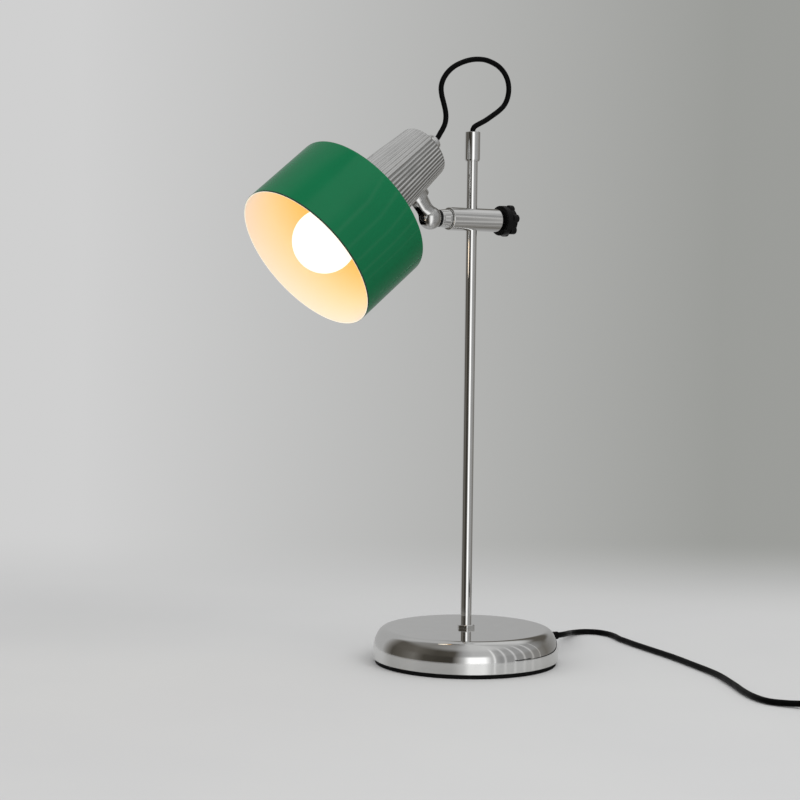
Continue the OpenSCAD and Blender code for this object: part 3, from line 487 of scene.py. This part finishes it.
def coil_r(u):
    """The coil's radius after u turns: in, a half turn that climbs, and out."""
    v = u - COIL_TURNS
    if v < 0:
        return COIL_OUT_R - COIL_PITCH * u
    if v < 0.5:
        return COIL_IN_R - COIL_PITCH * v + 2 * COIL_PITCH * v * v
    return COIL_IN_R + COIL_PITCH * (v - 0.5)


def coil_point(u):
    v = min(1, max(0, 2 * (u - COIL_TURNS)))
    a = 2 * math.pi * u
    return Vector((COIL_X + coil_r(u) * math.sin(a), COIL_Y - coil_r(u) * math.cos(a),
                   COIL_LOW + LAYER_STEP * v * v * (3 - 2 * v)))


exit_r = coil_r(COIL_LAST)
coil_start = Vector((COIL_X - CORD_D, COIL_Y - COIL_OUT_R, COIL_LOW))
coil_end = Vector((COIL_X + exit_r, COIL_Y + CORD_D, COIL_LOW + LAYER_STEP))
link_route = [
    switch_to, switch_to + switch_way * CORD_LEAD, (164.5, -408, 5), (172, -413, 4.2),
    (183, -415, 3.6), (195, -415, COIL_LOW), coil_start,
]
PLUG_Z, PLUG_BOOT, TAIL_LEN = 7, 22, 16
plug_at = Vector((coil_end.x, coil_end.y + TAIL_LEN + PLUG_BOOT, PLUG_Z))
tail_end = plug_at - Vector((0, PLUG_BOOT, 0))
tail_route = [
    coil_end, coil_end + Vector((0, CORD_LEAD, 0)), coil_end + Vector((0, 5.5, -0.5)),
    coil_end + Vector((0, 11, -1.9)), tail_end - Vector((0, CORD_LEAD, 0)), tail_end,
]

mains_line = smooth(mains_route, 4)
mains_lead = tube("mains_lead", mains_line, CORD_D / 2, "stand", [cord_black], 20)
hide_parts("mains_cord")

COIL_RINGS = 48
coil_steps = int(COIL_RINGS * COIL_LAST)
coil_line = (smooth(link_route, 4) + [coil_point(i / COIL_RINGS) for i in range(coil_steps + 1)]
             + smooth(tail_route, 3))
stored_lead = tube("stored_lead", coil_line, CORD_D / 2, "stand", [cord_black], 12)
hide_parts("link_cord", "cord_coil", "tail_cord")

# The loop is one lead, split where its bending changes from one joint to the next. Each part
# has the two bodies it bends between, and the points where its bending starts and ends
LOOP_PARTS = [
    ("loop_top", 0, 57.7, None, None, None),
    ("loop_slide", 57.7, 153.2, ("lead_loop", "clamp"), (26.1, 0, 552), (-28, 0, 528)),
    ("loop_roll", 153.2, 187, ("clamp", "collar"), (-36, 0, 533.4), (-37.7, 0, 503.5)),
    ("loop_tilt", 187, None, ("collar", "head"), (-32, 0, 499.3), (-50.3, 0, 485.5)),
]
loop_line = smooth(loop_route, 2)
loop_total = length(loop_line)
for part, start, end, pair, bend_from, bend_to in LOOP_PARTS:
    line = stretch(loop_line, start, end or loop_total)
    piece = tube(part, line, LOOP_D / 2, None if pair else "lead_loop", [cord_black], 16)
    if pair:
        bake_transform(piece)
    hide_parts("loop_cord")

# ---- Base ----


def base_side(inset):
    """The base's outline from its low edge to its flat top, set in by a thickness."""
    turn = math.degrees(math.asin((BASE_H - SIDE_Z - TOP_ROUND) / (SIDE_ROUND - TOP_ROUND)))
    shift = (SIDE_ROUND - TOP_ROUND) * math.cos(math.radians(turn))
    side = arc(BASE_R - SIDE_ROUND, SIDE_Z, SIDE_ROUND - inset, 0, turn, 16)
    shoulder = arc(BASE_R - SIDE_ROUND + shift, BASE_H - TOP_ROUND, TOP_ROUND - inset, turn, 90, 18)
    return side + shoulder[1:]


base_profile = [(BASE_R - 0.5, BASE_LOW), (BASE_R - 0.15, BASE_LOW + 0.15),
                (BASE_R, BASE_LOW + 0.5)] + base_side(0)
base_profile += [(60, BASE_H), (40, BASE_H), (20, BASE_H), (STEM_R + FIT, BASE_H)]
base_profile += [(STEM_R + FIT, BASE_H - BASE_WALL)] + base_side(BASE_WALL)[::-1]
base_profile += [(BASE_R - BASE_WALL, BASE_LOW)]
base = lathe("base_shell_smooth", base_profile, "stand", [chrome], closed=True, around=256)
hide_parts("base_shell")

boot_profile = [
    (CORD_D / 2, BOOT_IN_X), (5.7, BOOT_IN_X), (5.7, 82.58), (4.3, 82.58), (4.3, 85.2), (5.0, 85.2),
    (5.2, 85.4), (5.2, 87.2), (4.9, 90), (4.4, 96), (4.0, 103), (3.75, 108), (3.6, 110.4),
    (3.3, BOOT_TIP_X), (CORD_D / 2, BOOT_TIP_X),
]
boot = lathe("cord_boot_smooth", boot_profile, "stand", [cord_black],
             Matrix.Translation((0, 0, EXIT_Z)) @ Matrix.Rotation(math.radians(90), 4, "Y"),
             closed=True, around=48)
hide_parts("cord_boot")

# ---- Stem ----

stem_profile = [(STEM_BORE_R, STEM_LOW), (STEM_R, STEM_LOW)]
stem_profile += [(STEM_R, z) for z in (100, 200, 300, 400)]
stem_profile += [(STEM_R, STEM_TOP), (STEM_BORE_R, STEM_TOP)]
stem = lathe("stem_smooth", stem_profile, "stand", [chrome], closed=True, around=96)
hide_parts("stem")

ferrule_profile = [(STEM_R + FIT, FERRULE_Z)]
ferrule_profile += [(6.1, FERRULE_Z), (6.25, FERRULE_Z + 0.1), (6.9, FERRULE_Z + 1.5)]
ferrule_profile += [(FERRULE_R, FERRULE_Z + 2)]
ferrule_profile += arc(FERRULE_R - 0.6, LAMP_H - 0.6, 0.6, 0, 90, 5)
ferrule_profile += [(STEM_BORE_R, LAMP_H), (STEM_BORE_R, STEM_TOP + FIT)]
ferrule_profile += [(STEM_R + FIT, STEM_TOP + FIT)]
ferrule = lathe("ferrule_smooth", ferrule_profile, "stand", [chrome], closed=True, around=96)
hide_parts("stem_ferrule")


def hex_radius(angle, af, soft):
    """The radius of a hexagon with slightly rounded corners."""
    a = (angle + math.pi / 6) % (math.pi / 3) - math.pi / 6
    return min(af / 2 / math.cos(a), af / 2 / math.cos(math.pi / 6) - soft)


def hexagon(af, z, soft=0.25, shrink=0.0, around=96):
    ring = []
    for k in range(around):
        a = 2 * math.pi * k / around
        r = hex_radius(a + math.pi / 6, af, soft) - shrink
        ring.append((r * math.cos(a), r * math.sin(a), z))
    return ring


def circle(r, z, around=96):
    turn = 2 * math.pi / around
    return [(r * math.cos(k * turn), r * math.sin(k * turn), z) for k in range(around)]


nut_rings = [circle(STEM_R + FIT, BASE_H), hexagon(NUT_AF, BASE_H + 0.02, shrink=0.3),
             hexagon(NUT_AF, BASE_H + 0.35), hexagon(NUT_AF, BASE_H + NUT_H - 0.5),
             hexagon(NUT_AF, BASE_H + NUT_H, 0.9, 0.35), circle(STEM_R + FIT, BASE_H + NUT_H)]
nut = mesh_object("foot_nut_smooth", *loft(nut_rings, closed=True), "stand", [chrome], sharp=25)
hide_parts("foot_nut")

# ---- Clamp ----

barrel_profile = [(SPIGOT_R + FIT, -BARREL_NEAR)]
barrel_profile += arc(BARREL_R - 1.1, -BARREL_NEAR + 1.1, 1.1, 270, 360, 8)
barrel_profile += [(BARREL_R, -12), (BARREL_R, 0), (BARREL_R, 12)]
barrel_profile += arc(BARREL_R - 1.3, BARREL_FAR - 1.3, 1.3, 0, 90, 8)
barrel_profile += [(BARREL_BORE_R, BARREL_FAR), (BARREL_BORE_R, -POCKET_END)]
barrel_profile += [(SPIGOT_R + FIT, -POCKET_END)]
barrel = lathe("barrel_smooth", barrel_profile, "clamp", [chrome], ALONG_X, closed=True)
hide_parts("clamp_barrel")

KNOB_AROUND = 240
knob_skirt = [(4, SKIRT_X), (13.3, SKIRT_X), (13.6, SKIRT_X + 0.1), (13.7, SKIRT_X + 0.4)]
knob_skirt += [(13.85, LOBES_X - 0.5), (13.7, LOBES_X - 0.1), (13.4, LOBES_X)]


def lobed(x, inset, around=KNOB_AROUND):
    """A ring of the knob's outline, a core with round lobes, set in by an amount."""
    ring = []
    lobe_at = KNOB_R - LOBE_R
    lobe, core = LOBE_R - inset, KNOB_CORE_R - inset
    for k in range(around):
        a = 2 * math.pi * k / around
        off = (a - math.radians(LOBE_TURN) + math.pi / KNOB_LOBES) % (2 * math.pi / KNOB_LOBES)
        off -= math.pi / KNOB_LOBES
        side = lobe_at * math.sin(off)
        r = core
        if abs(side) < lobe:
            out = lobe_at * math.cos(off) + math.sqrt(lobe * lobe - side * side)
            blend = max(0.0, min(1.0, 0.5 + (out - core) / 1.6))
            r = core + (out - core) * blend + 0.4 * blend * (1 - blend)
        ring.append((r * math.cos(a), r * math.sin(a), x))
    return ring


knob_rings = [circle(r, x, KNOB_AROUND) for r, x in knob_skirt]
knob_rings += [lobed(LOBES_X + 0.05, 0.6), lobed(LOBES_X + 0.35, 0.15), lobed(LOBES_X + 0.9, 0)]
knob_rings += [lobed(KNOB_X - 1.6, 0), lobed(KNOB_X - 0.9, 0.25), lobed(KNOB_X - 0.35, 0.8)]
knob_rings += [lobed(KNOB_X - 0.05, 1.6), circle(9.8, KNOB_X, KNOB_AROUND)]
knob_rings += [circle(r, KNOB_X - sunk, KNOB_AROUND) for r, sunk in ((8.6, 0.5), (4, 0.9))]
knob = mesh_object("star_knob_smooth", *loft(knob_rings), "knob", [plastic_black], ALONG_X,
                   sharp=50)
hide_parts("star_knob")

# A recess in the collar's face holds the cup's boss, clear of the ball as the head tilts
collar_profile = [(CUP_BOSS_R + FIT, -COLLAR_FACE)]
collar_profile += arc(COLLAR_TIP_R - 0.5, -COLLAR_FACE + 0.5, 0.5, 270, 360, 5)
collar_profile += [(COLLAR_TIP_R + 0.15, -35), (COLLAR_R - 0.05, -COLLAR_BACK - 2.2)]
collar_profile += [(COLLAR_R, -COLLAR_BACK - 0.4), (COLLAR_R - 0.3, -COLLAR_BACK)]
collar_profile += [(SPIGOT_R, -COLLAR_BACK), (SPIGOT_R, -SPIGOT_END)]
collar_profile += [(STUD_BORE_R, -SPIGOT_END), (STUD_BORE_R, CUP_BACK - COLLAR_FACE)]
collar_profile += [(CUP_BOSS_R + FIT, CUP_BACK - COLLAR_FACE)]
collar = lathe("collar_smooth", collar_profile, "collar", [chrome], ALONG_X, closed=True, around=96)
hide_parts("swivel_collar")

# ---- Head ----


def head_lathe(name, profile, materials, **more):
    return lathe(name, profile, "head", materials, HEAD, closed=True, **more)


shade_corner = (SHADE_R - SHADE_ROUND, SHADE_LEN - SHADE_ROUND)
shade_profile = [(SHADE_R - 0.25, 0), (SHADE_R, 0.25), (SHADE_R, 1.3), (SHADE_R, 20), (SHADE_R, 45)]
shade_profile += arc(*shade_corner, SHADE_ROUND, 0, 90, 10)
shade_profile += [(50, SHADE_LEN), (35, SHADE_LEN), (SHADE_HOLE_R, SHADE_LEN)]
outer_count = len(shade_profile) - 1
shade_profile += [(SHADE_HOLE_R, SHADE_LEN - SHADE_WALL), (45, SHADE_LEN - SHADE_WALL)]
shade_profile += arc(*shade_corner, SHADE_ROUND - SHADE_WALL, 90, 0, 8)
shade_profile += [(SHADE_R - SHADE_WALL, 45), (SHADE_R - SHADE_WALL, 20)]
shade_profile += [(SHADE_R - SHADE_WALL, 0.25), (SHADE_R - SHADE_WALL + 0.25, 0)]
SHADE_AROUND = 256
# The rim band carries painted shade, and the lip band a painted glow
GREEN, INSIDE, RIM, LIP = range(4)
inner_count = len(shade_profile) - outer_count - 2
bands = [RIM] * 2 + [GREEN] * (outer_count - 2) + [INSIDE] * inner_count + [LIP] * 2
shade = head_lathe("shade_smooth", shade_profile, [green, inside, rim_painted_shade, lip],
                   around=SHADE_AROUND, slots=[b for b in bands for _ in range(SHADE_AROUND)])
shade.visible_glossy = False  # the photograph's chrome mirrors no green
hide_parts("shade")


def cap_line(t):
    slope = (CAP_BACK_R - CAP_FRONT_R) / (CAP_T - CAP_ROUND - CAP_FRONT)
    return CAP_FRONT_R + slope * (t - CAP_FRONT)


def fluted(t, r, per_flute=16):
    """A ring of the cap of outer radius r, cut by the flutes."""
    ring = []
    for k in range(FLUTES * per_flute):
        a = 2 * math.pi * k / (FLUTES * per_flute)
        off = ((a / (2 * math.pi) * FLUTES) % 1 - 0.5) * 2 * math.pi / FLUTES * cap_line(t)
        cut = FLUTE_R ** 2 - off ** 2
        depth = cap_line(t) + FLUTE_R - FLUTE_DEPTH - math.sqrt(cut) if cut > 0 else r
        rr = min(r, depth)
        ring.append((rr * math.cos(a), rr * math.sin(a), t))
    return ring


# A flute's floor is dark from a depth on, where it faces the photograph's right and, by a
# share, down: this shade is painted, and not the light's
GROOVE_FROM, SHADED_FROM, SHADED_LOW = 0.6, 0.1, 0.4
CAP_STEPS = (*range(85, 155, 10), 151, 155)
cap_edge = arc(CAP_BACK_R - CAP_ROUND, CAP_T - CAP_ROUND, CAP_ROUND, 5, 90, 12)
cap_rings = [fluted(CAP_FRONT, CAP_FRONT_R - CAP_WALL), fluted(CAP_FRONT, CAP_FRONT_R)]
cap_rings += [fluted(t, cap_line(t)) for t in CAP_STEPS]
cap_rings += [fluted(t, r) for r, t in cap_edge]
cap_count = len(cap_rings[0])
cap_rings += [circle(CAP_FLAT_R, CAP_T, cap_count), circle(NIPPLE_BORE_R, CAP_T, cap_count)]
cap_rings += [circle(r, CAP_T - CAP_WALL, cap_count) for r in (NIPPLE_BORE_R, CAP_HOLLOW_R)]
cap_rings += [circle(CAP_BACK_R - CAP_WALL, CAP_T - CAP_ROUND, cap_count)]
cap_mesh = loft(cap_rings, closed=True)
cap_slots = []
for face in cap_mesh[1]:
    deepest = max(cap_line(cap_mesh[0][i][2]) - math.hypot(*cap_mesh[0][i][:2]) for i in face)
    middle = sum((Vector(cap_mesh[0][i]) for i in face), Vector()) / len(face)
    faces_way = HEAD.to_3x3() @ Vector((middle.x, middle.y, 0)).normalized()
    shaded = faces_way.dot(right) - SHADED_LOW * faces_way.dot(up) > SHADED_FROM
    cap_slots.append(1 if shaded and GROOVE_FROM < deepest < FLUTE_DEPTH + 0.05 else 0)
cap = mesh_object("head_cap_smooth", *cap_mesh, "head", [satin, groove_painted_shade], HEAD, sharp=40,
                  slots=cap_slots)
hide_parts("head_cap")

NIPPLE_OUT = 6
gland_top = CAP_T + GLAND_LEN
gland_profile = [(NIPPLE_BORE_R, CAP_T), (GLAND_R - 0.1, CAP_T), (GLAND_R, CAP_T + 0.1)]
gland_profile += [(GLAND_R, gland_top - 2.6), (GLAND_R - 0.15, gland_top - 2.4)]
gland_profile += [(GLAND_TIP_R - 0.1, gland_top - 2.3), (GLAND_TIP_R, gland_top - 2.1)]
gland_profile += arc(GLAND_TIP_R - GLAND_EDGE, gland_top - GLAND_EDGE, GLAND_EDGE, 0, 90, 8)
gland_profile += [(GLAND_BORE_R, gland_top), (GLAND_BORE_R, CAP_T + NIPPLE_OUT)]
gland_profile += [(NIPPLE_BORE_R, CAP_T + NIPPLE_OUT)]
gland = head_lathe("gland_smooth", gland_profile, [satin], around=64)
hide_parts("gland")

bulb_profile = [(0.01, BULB_T - BULB_R)] + arc(0, BULB_T, BULB_R, -88, 42, 40)
bulb_profile += [(17.6, 48), (15, 53.5), (13.4, 58.5), (12.9, BULB_CAP_T)]
bulb = lathe("bulb_smooth", bulb_profile, "head", [glass], HEAD, around=96)
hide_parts("bulb_globe")

# ---- CAD nodes that keep their shape ----

KEPT = {
    "base_weight": iron, "base_pad": pad_black, "under_washer": steel, "under_nut": steel,
    "ferrule_bush": cord_black, "inner_lead": cord_black, "stem_liner": nylon,
    "collar_screw": steel, "pressure_shoe": brass, "clamp_screw": steel,
    "friction_cup": black_oxide, "swivel_stud": black_oxide, "stud_nut": steel,
    "swivel_knuckle": slotted, "tilt_pin": chrome, "knuckle_screws": steel,
    "shade_ring": inside, "lampholder": holder_white, "thread_shell": brass,
    "bulb_cap": nickel, "holder_nipple": steel, "gland_bush": cord_black,
    "head_lead": cord_black, "switch_base": plastic_black, "switch_cover": plastic_black,
    "switch_rocker": plastic_black, "rocker_pin": steel, "coil_tie": plastic_black,
    "plug_body": plastic_black, "plug_pins": nickel,
}
for node, finish in KEPT.items():
    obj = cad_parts[node]
    for s in obj.material_slots:
        s.material = finish

# ---- Floor, world and lights ----

WALL_LEFT, WALL_RIGHT = (0.63, 0.63, 0.63), (0.33, 0.335, 0.32)
FLOOR_R, FLOOR_SIDES = 30000, 64
WALL_FADE = 0.16
FADE_FROM, FADE_TO = 0.22, 0.95
MIRRORED_FROM, MIRRORED_TO, FLOOR_DULL = 0.15, 0.32, 0.4  # metres, metres, share left out


def wall_colour(tree, way):
    """The wall's brightness behind the lamp, by the way a ray goes."""
    side = tree.nodes.new("ShaderNodeVectorMath")
    side.operation = "DOT_PRODUCT"
    side.inputs[1].default_value = right
    tree.links.new(way, side.inputs[0])
    fade = tree.nodes.new("ShaderNodeMapRange")
    fade.inputs["From Min"].default_value = -WALL_FADE
    fade.inputs["From Max"].default_value = WALL_FADE
    tree.links.new(side.outputs["Value"], fade.inputs["Value"])
    mix = tree.nodes.new("ShaderNodeMix")
    mix.data_type = "RGBA"
    mix.inputs["A"].default_value = (*WALL_LEFT, 1)
    mix.inputs["B"].default_value = (*WALL_RIGHT, 1)
    tree.links.new(fade.outputs["Result"], mix.inputs["Factor"])
    return mix.outputs["Result"]


def floor_material():
    """A pale floor that fades into the wall behind the lamp.

    Polished metal doesn't mirror all of it: a share of it is left out under the lamp,
    and all of it further off, where the room's low band shows instead.
    """
    m = new_material("floor", (0.53, 0.53, 0.53), 0, 0.7, Specular_IOR_Level=0.2)
    shader = m.node_tree.nodes["Principled BSDF"]
    vary(m, 3, color=(0.55, 0.55, 0.545))
    out = m.node_tree.nodes["Material Output"]
    place = m.node_tree.nodes.new("ShaderNodeTexCoord")
    far = m.node_tree.nodes.new("ShaderNodeVectorMath")
    far.operation = "DOT_PRODUCT"
    far.inputs[1].default_value = ahead
    link(m, place.outputs["Object"], far.inputs[0])
    fade = add(m, "ShaderNodeMapRange", From_Min=FADE_FROM, From_Max=FADE_TO)
    fade.interpolation_type = "SMOOTHSTEP"
    link(m, far.outputs["Value"], fade.inputs["Value"])
    from_camera = m.node_tree.nodes.new("ShaderNodeVectorMath")
    from_camera.operation = "SUBTRACT"
    from_camera.inputs[1].default_value = place_of_camera
    link(m, place.outputs["Object"], from_camera.inputs[0])
    way = m.node_tree.nodes.new("ShaderNodeVectorMath")
    way.operation = "NORMALIZE"
    link(m, from_camera.outputs["Vector"], way.inputs[0])
    glow = m.node_tree.nodes.new("ShaderNodeEmission")
    link(m, wall_colour(m.node_tree, way.outputs["Vector"]), glow.inputs["Color"])
    mix = m.node_tree.nodes.new("ShaderNodeMixShader")
    link(m, fade.outputs["Result"], mix.inputs["Fac"])
    link(m, shader.outputs["BSDF"], mix.inputs[1])
    link(m, glow.outputs["Emission"], mix.inputs[2])
    near = m.node_tree.nodes.new("ShaderNodeVectorMath")
    near.operation = "LENGTH"
    link(m, place.outputs["Object"], near.inputs[0])
    off = add(m, "ShaderNodeMapRange", From_Min=MIRRORED_FROM, From_Max=MIRRORED_TO)
    link(m, near.outputs["Value"], off.inputs["Value"])
    off.inputs["To Min"].default_value = FLOOR_DULL
    mirror = m.node_tree.nodes.new("ShaderNodeMath")
    mirror.operation = "MULTIPLY"
    link(m, off.outputs["Result"], mirror.inputs[0])
    link(m, m.node_tree.nodes.new("ShaderNodeLightPath").outputs["Is Glossy Ray"], mirror.inputs[1])
    hidden = m.node_tree.nodes.new("ShaderNodeMixShader")
    link(m, mirror.outputs[0], hidden.inputs["Fac"])
    link(m, mix.outputs["Shader"], hidden.inputs[1])
    link(m, m.node_tree.nodes.new("ShaderNodeBsdfTransparent").outputs[0], hidden.inputs[2])
    link(m, hidden.outputs["Shader"], out.inputs["Surface"])
    return m


def floor_corner(k):
    a = 2 * math.pi * k / FLOOR_SIDES
    return (FLOOR_R * math.cos(a), FLOOR_R * math.sin(a), 0)


floor = mesh_object("floor", [floor_corner(k) for k in range(FLOOR_SIDES)],
                    [tuple(range(FLOOR_SIDES))], None, [floor_material()])

# What polished metal mirrors: brightness by degrees to the right of the way back to the
# photograph's camera. It is a made-up room, and not the background that the camera sees
LOW_BAND = [(-180, 0.42), (-128, 0.42), (-116, 0.20), (-106, 0.07), (-90, 0.10), (-70, 0.16),
            (-55, 0.06), (-35, 0.045), (-18, 0.04), (-12, 0.22), (-4, 0.55), (3, 1.3),
            (22, 1.3), (30, 0.55), (42, 0.30), (62, 0.30), (85, 0.26), (100, 0.24),
            (118, 0.16), (140, 0.26), (180, 0.42)]
MID_BAND = [(-180, 0.42), (-128, 0.42), (-116, 0.20), (-106, 0.09), (-70, 0.12), (-40, 0.06),
            (-16, 0.07), (-4, 0.36), (8, 0.50), (30, 0.50), (42, 0.36), (70, 0.34), (100, 0.30),
            (130, 0.10), (160, 0.10), (180, 0.14)]
HIGH_BAND = [(-180, 0.44), (-130, 0.46), (-100, 0.26), (-60, 0.22), (-20, 0.28), (5, 0.55),
             (35, 0.60), (70, 0.42), (120, 0.60), (160, 0.60), (180, 0.50)]
MID_FROM, MID_TO = math.sin(math.radians(14)), math.sin(math.radians(24))
HIGH_FROM, HIGH_TO = math.sin(math.radians(36)), math.sin(math.radians(52))
CURTAIN_FROM, CURTAIN_TO, FOLDS, FOLD_EDGE, FOLD_LIGHT = 24, 104, 26.0, 16.0, 0.9
WARM_DARK, WARM_BELOW, WARM_RANGE = (1.0, 0.90, 0.74), 0.3, 0.25
BACK_LIGHT, FRONT_LIGHT = (0.50, 0.50, 0.505), (1.08, 1.085, 1.09)
FRONT_SHARE, EVEN_FROM, EVEN_TO = 0.8, -0.8, 0.9


def room_world():
    """Soft even light. Polished metal mirrors a window and its curtains, and not the wall."""
    world = bpy.data.worlds.new("room")
    bpy.context.scene.world = world
    world.use_nodes = True
    tree = world.node_tree
    tree.nodes.clear()
    new = tree.nodes.new
    wire = tree.links.new

    def math_node(kind, *values):
        n = new("ShaderNodeMath")
        n.operation = kind
        for i, v in enumerate(values):
            if isinstance(v, (int, float)):
                n.inputs[i].default_value = v
            else:
                wire(v, n.inputs[i])
        return n.outputs[0]

    def colour_mix(factor, a, b):
        n = new("ShaderNodeMix")
        n.data_type = "RGBA"
        wire(factor, n.inputs["Factor"])
        wire(a, n.inputs["A"])
        wire(b, n.inputs["B"])
        return n.outputs["Result"]

    def ramp_of(stops, factor):
        """A ramp of grey stops, tinted warm where it is dark."""
        n = new("ShaderNodeValToRGB")
        wire(factor, n.inputs["Fac"])
        elements = n.color_ramp.elements
        while len(elements) < len(stops):
            elements.new(0.5)
        for e, (angle, bright) in zip(elements, stops):
            e.position = angle / 360 + 0.5
            warm = min(1.0, max(0.0, (WARM_BELOW - bright) / WARM_RANGE))
            e.color = (*[bright * (1 - warm + warm * w) for w in WARM_DARK], 1)
        return n.outputs["Color"]

    coord = new("ShaderNodeTexCoord").outputs["Generated"]
    dots = []
    for way in (right, -ahead, up):
        d = new("ShaderNodeVectorMath")
        d.operation = "DOT_PRODUCT"
        d.inputs[1].default_value = way
        wire(coord, d.inputs[0])
        dots.append(d.outputs["Value"])
    turn = math_node("ARCTAN2", dots[0], dots[1])
    round_about = math_node("MULTIPLY_ADD", turn, 1 / (2 * math.pi), 0.5)

    def between(value, low, high):
        n = new("ShaderNodeMapRange")
        n.interpolation_type = "SMOOTHSTEP"
        n.inputs["From Min"].default_value = low
        n.inputs["From Max"].default_value = high
        wire(value, n.inputs["Value"])
        return n.outputs["Result"]

    lower = colour_mix(between(dots[2], MID_FROM, MID_TO), ramp_of(LOW_BAND, round_about),
                       ramp_of(MID_BAND, round_about))
    room = colour_mix(between(dots[2], HIGH_FROM, HIGH_TO), lower,
                      ramp_of(HIGH_BAND, round_about))
    in_curtain = math_node("MULTIPLY",
                           math_node("GREATER_THAN", turn, math.radians(CURTAIN_FROM)),
                           math_node("LESS_THAN", turn, math.radians(CURTAIN_TO)))
    wave = math_node("ABSOLUTE", math_node("SINE", math_node("MULTIPLY", turn, FOLDS / 2)))
    low_down = math_node("SUBTRACT", 1.0, between(dots[2], HIGH_FROM, HIGH_TO))
    pleats = math_node("MULTIPLY", math_node("MULTIPLY", math_node("POWER", wave, FOLD_EDGE),
                       in_curtain), low_down)
    folds = math_node("MULTIPLY_ADD", pleats, FOLD_LIGHT, 1.0)
    mirrored = new("ShaderNodeVectorMath")
    mirrored.operation = "SCALE"
    wire(room, mirrored.inputs[0])
    wire(folds, mirrored.inputs["Scale"])

    def background(colour):
        n = new("ShaderNodeBackground")
        if isinstance(colour, tuple):
            n.inputs["Color"].default_value = (*colour, 1)
        else:
            wire(colour, n.inputs["Color"])
        return n.outputs[0]

    def shader_mix(factor, a, b):
        n = new("ShaderNodeMixShader")
        wire(factor, n.inputs["Fac"])
        wire(a, n.inputs[1])
        wire(b, n.inputs[2])
        return n.outputs[0]

    def plain(colour):
        n = new("ShaderNodeRGB")
        n.outputs[0].default_value = (*colour, 1)
        return n.outputs[0]

    front = new("ShaderNodeVectorMath")
    front.operation = "DOT_PRODUCT"
    front.inputs[1].default_value = (up - ahead * FRONT_SHARE).normalized()
    wire(coord, front.inputs[0])
    path = new("ShaderNodeLightPath").outputs
    even = background(colour_mix(between(front.outputs["Value"], EVEN_FROM, EVEN_TO),
                                 plain(BACK_LIGHT), plain(FRONT_LIGHT)))
    lit = shader_mix(path["Is Glossy Ray"], even, background(mirrored.outputs["Vector"]))
    seen = math_node("MAXIMUM", path["Is Camera Ray"], path["Is Transmission Ray"])
    out = new("ShaderNodeOutputWorld")
    wire(shader_mix(seen, lit, background(wall_colour(tree, coord))), out.inputs["Surface"])


room_world()


def softbox(name, at, aim, size, power):
    """A round lamp that lights the object and isn't mirrored."""
    data = bpy.data.lights.new(name, "AREA")
    data.shape = "DISK"
    data.size = size
    data.energy = power
    obj = bpy.data.objects.new(name, data)
    bpy.context.scene.collection.objects.link(obj)
    obj.location = at
    obj.rotation_euler = (Vector(aim) - Vector(at)).to_track_quat("-Z", "Y").to_euler()
    obj.visible_glossy = False


# Each light's name, way from the lamp (right, ahead, up), distance and size in metres, and watts
LIGHTS = [
    ("window", (0.75, -0.75, 0.9), 2.2, 1.2, 14),
    ("fill", (-0.9, -0.3, 0.5), 2.4, 1.5, 5),
]
lamp_middle = Vector((-0.05, 0, 0.3))
for light_name, (to_right, to_ahead, to_up), far, size, power in LIGHTS:
    light_way = (right * to_right + ahead * to_ahead + up * to_up).normalized()
    softbox(light_name, lamp_middle + light_way * far, lamp_middle, size, power)

bpy.context.scene.view_settings.view_transform = "Standard"
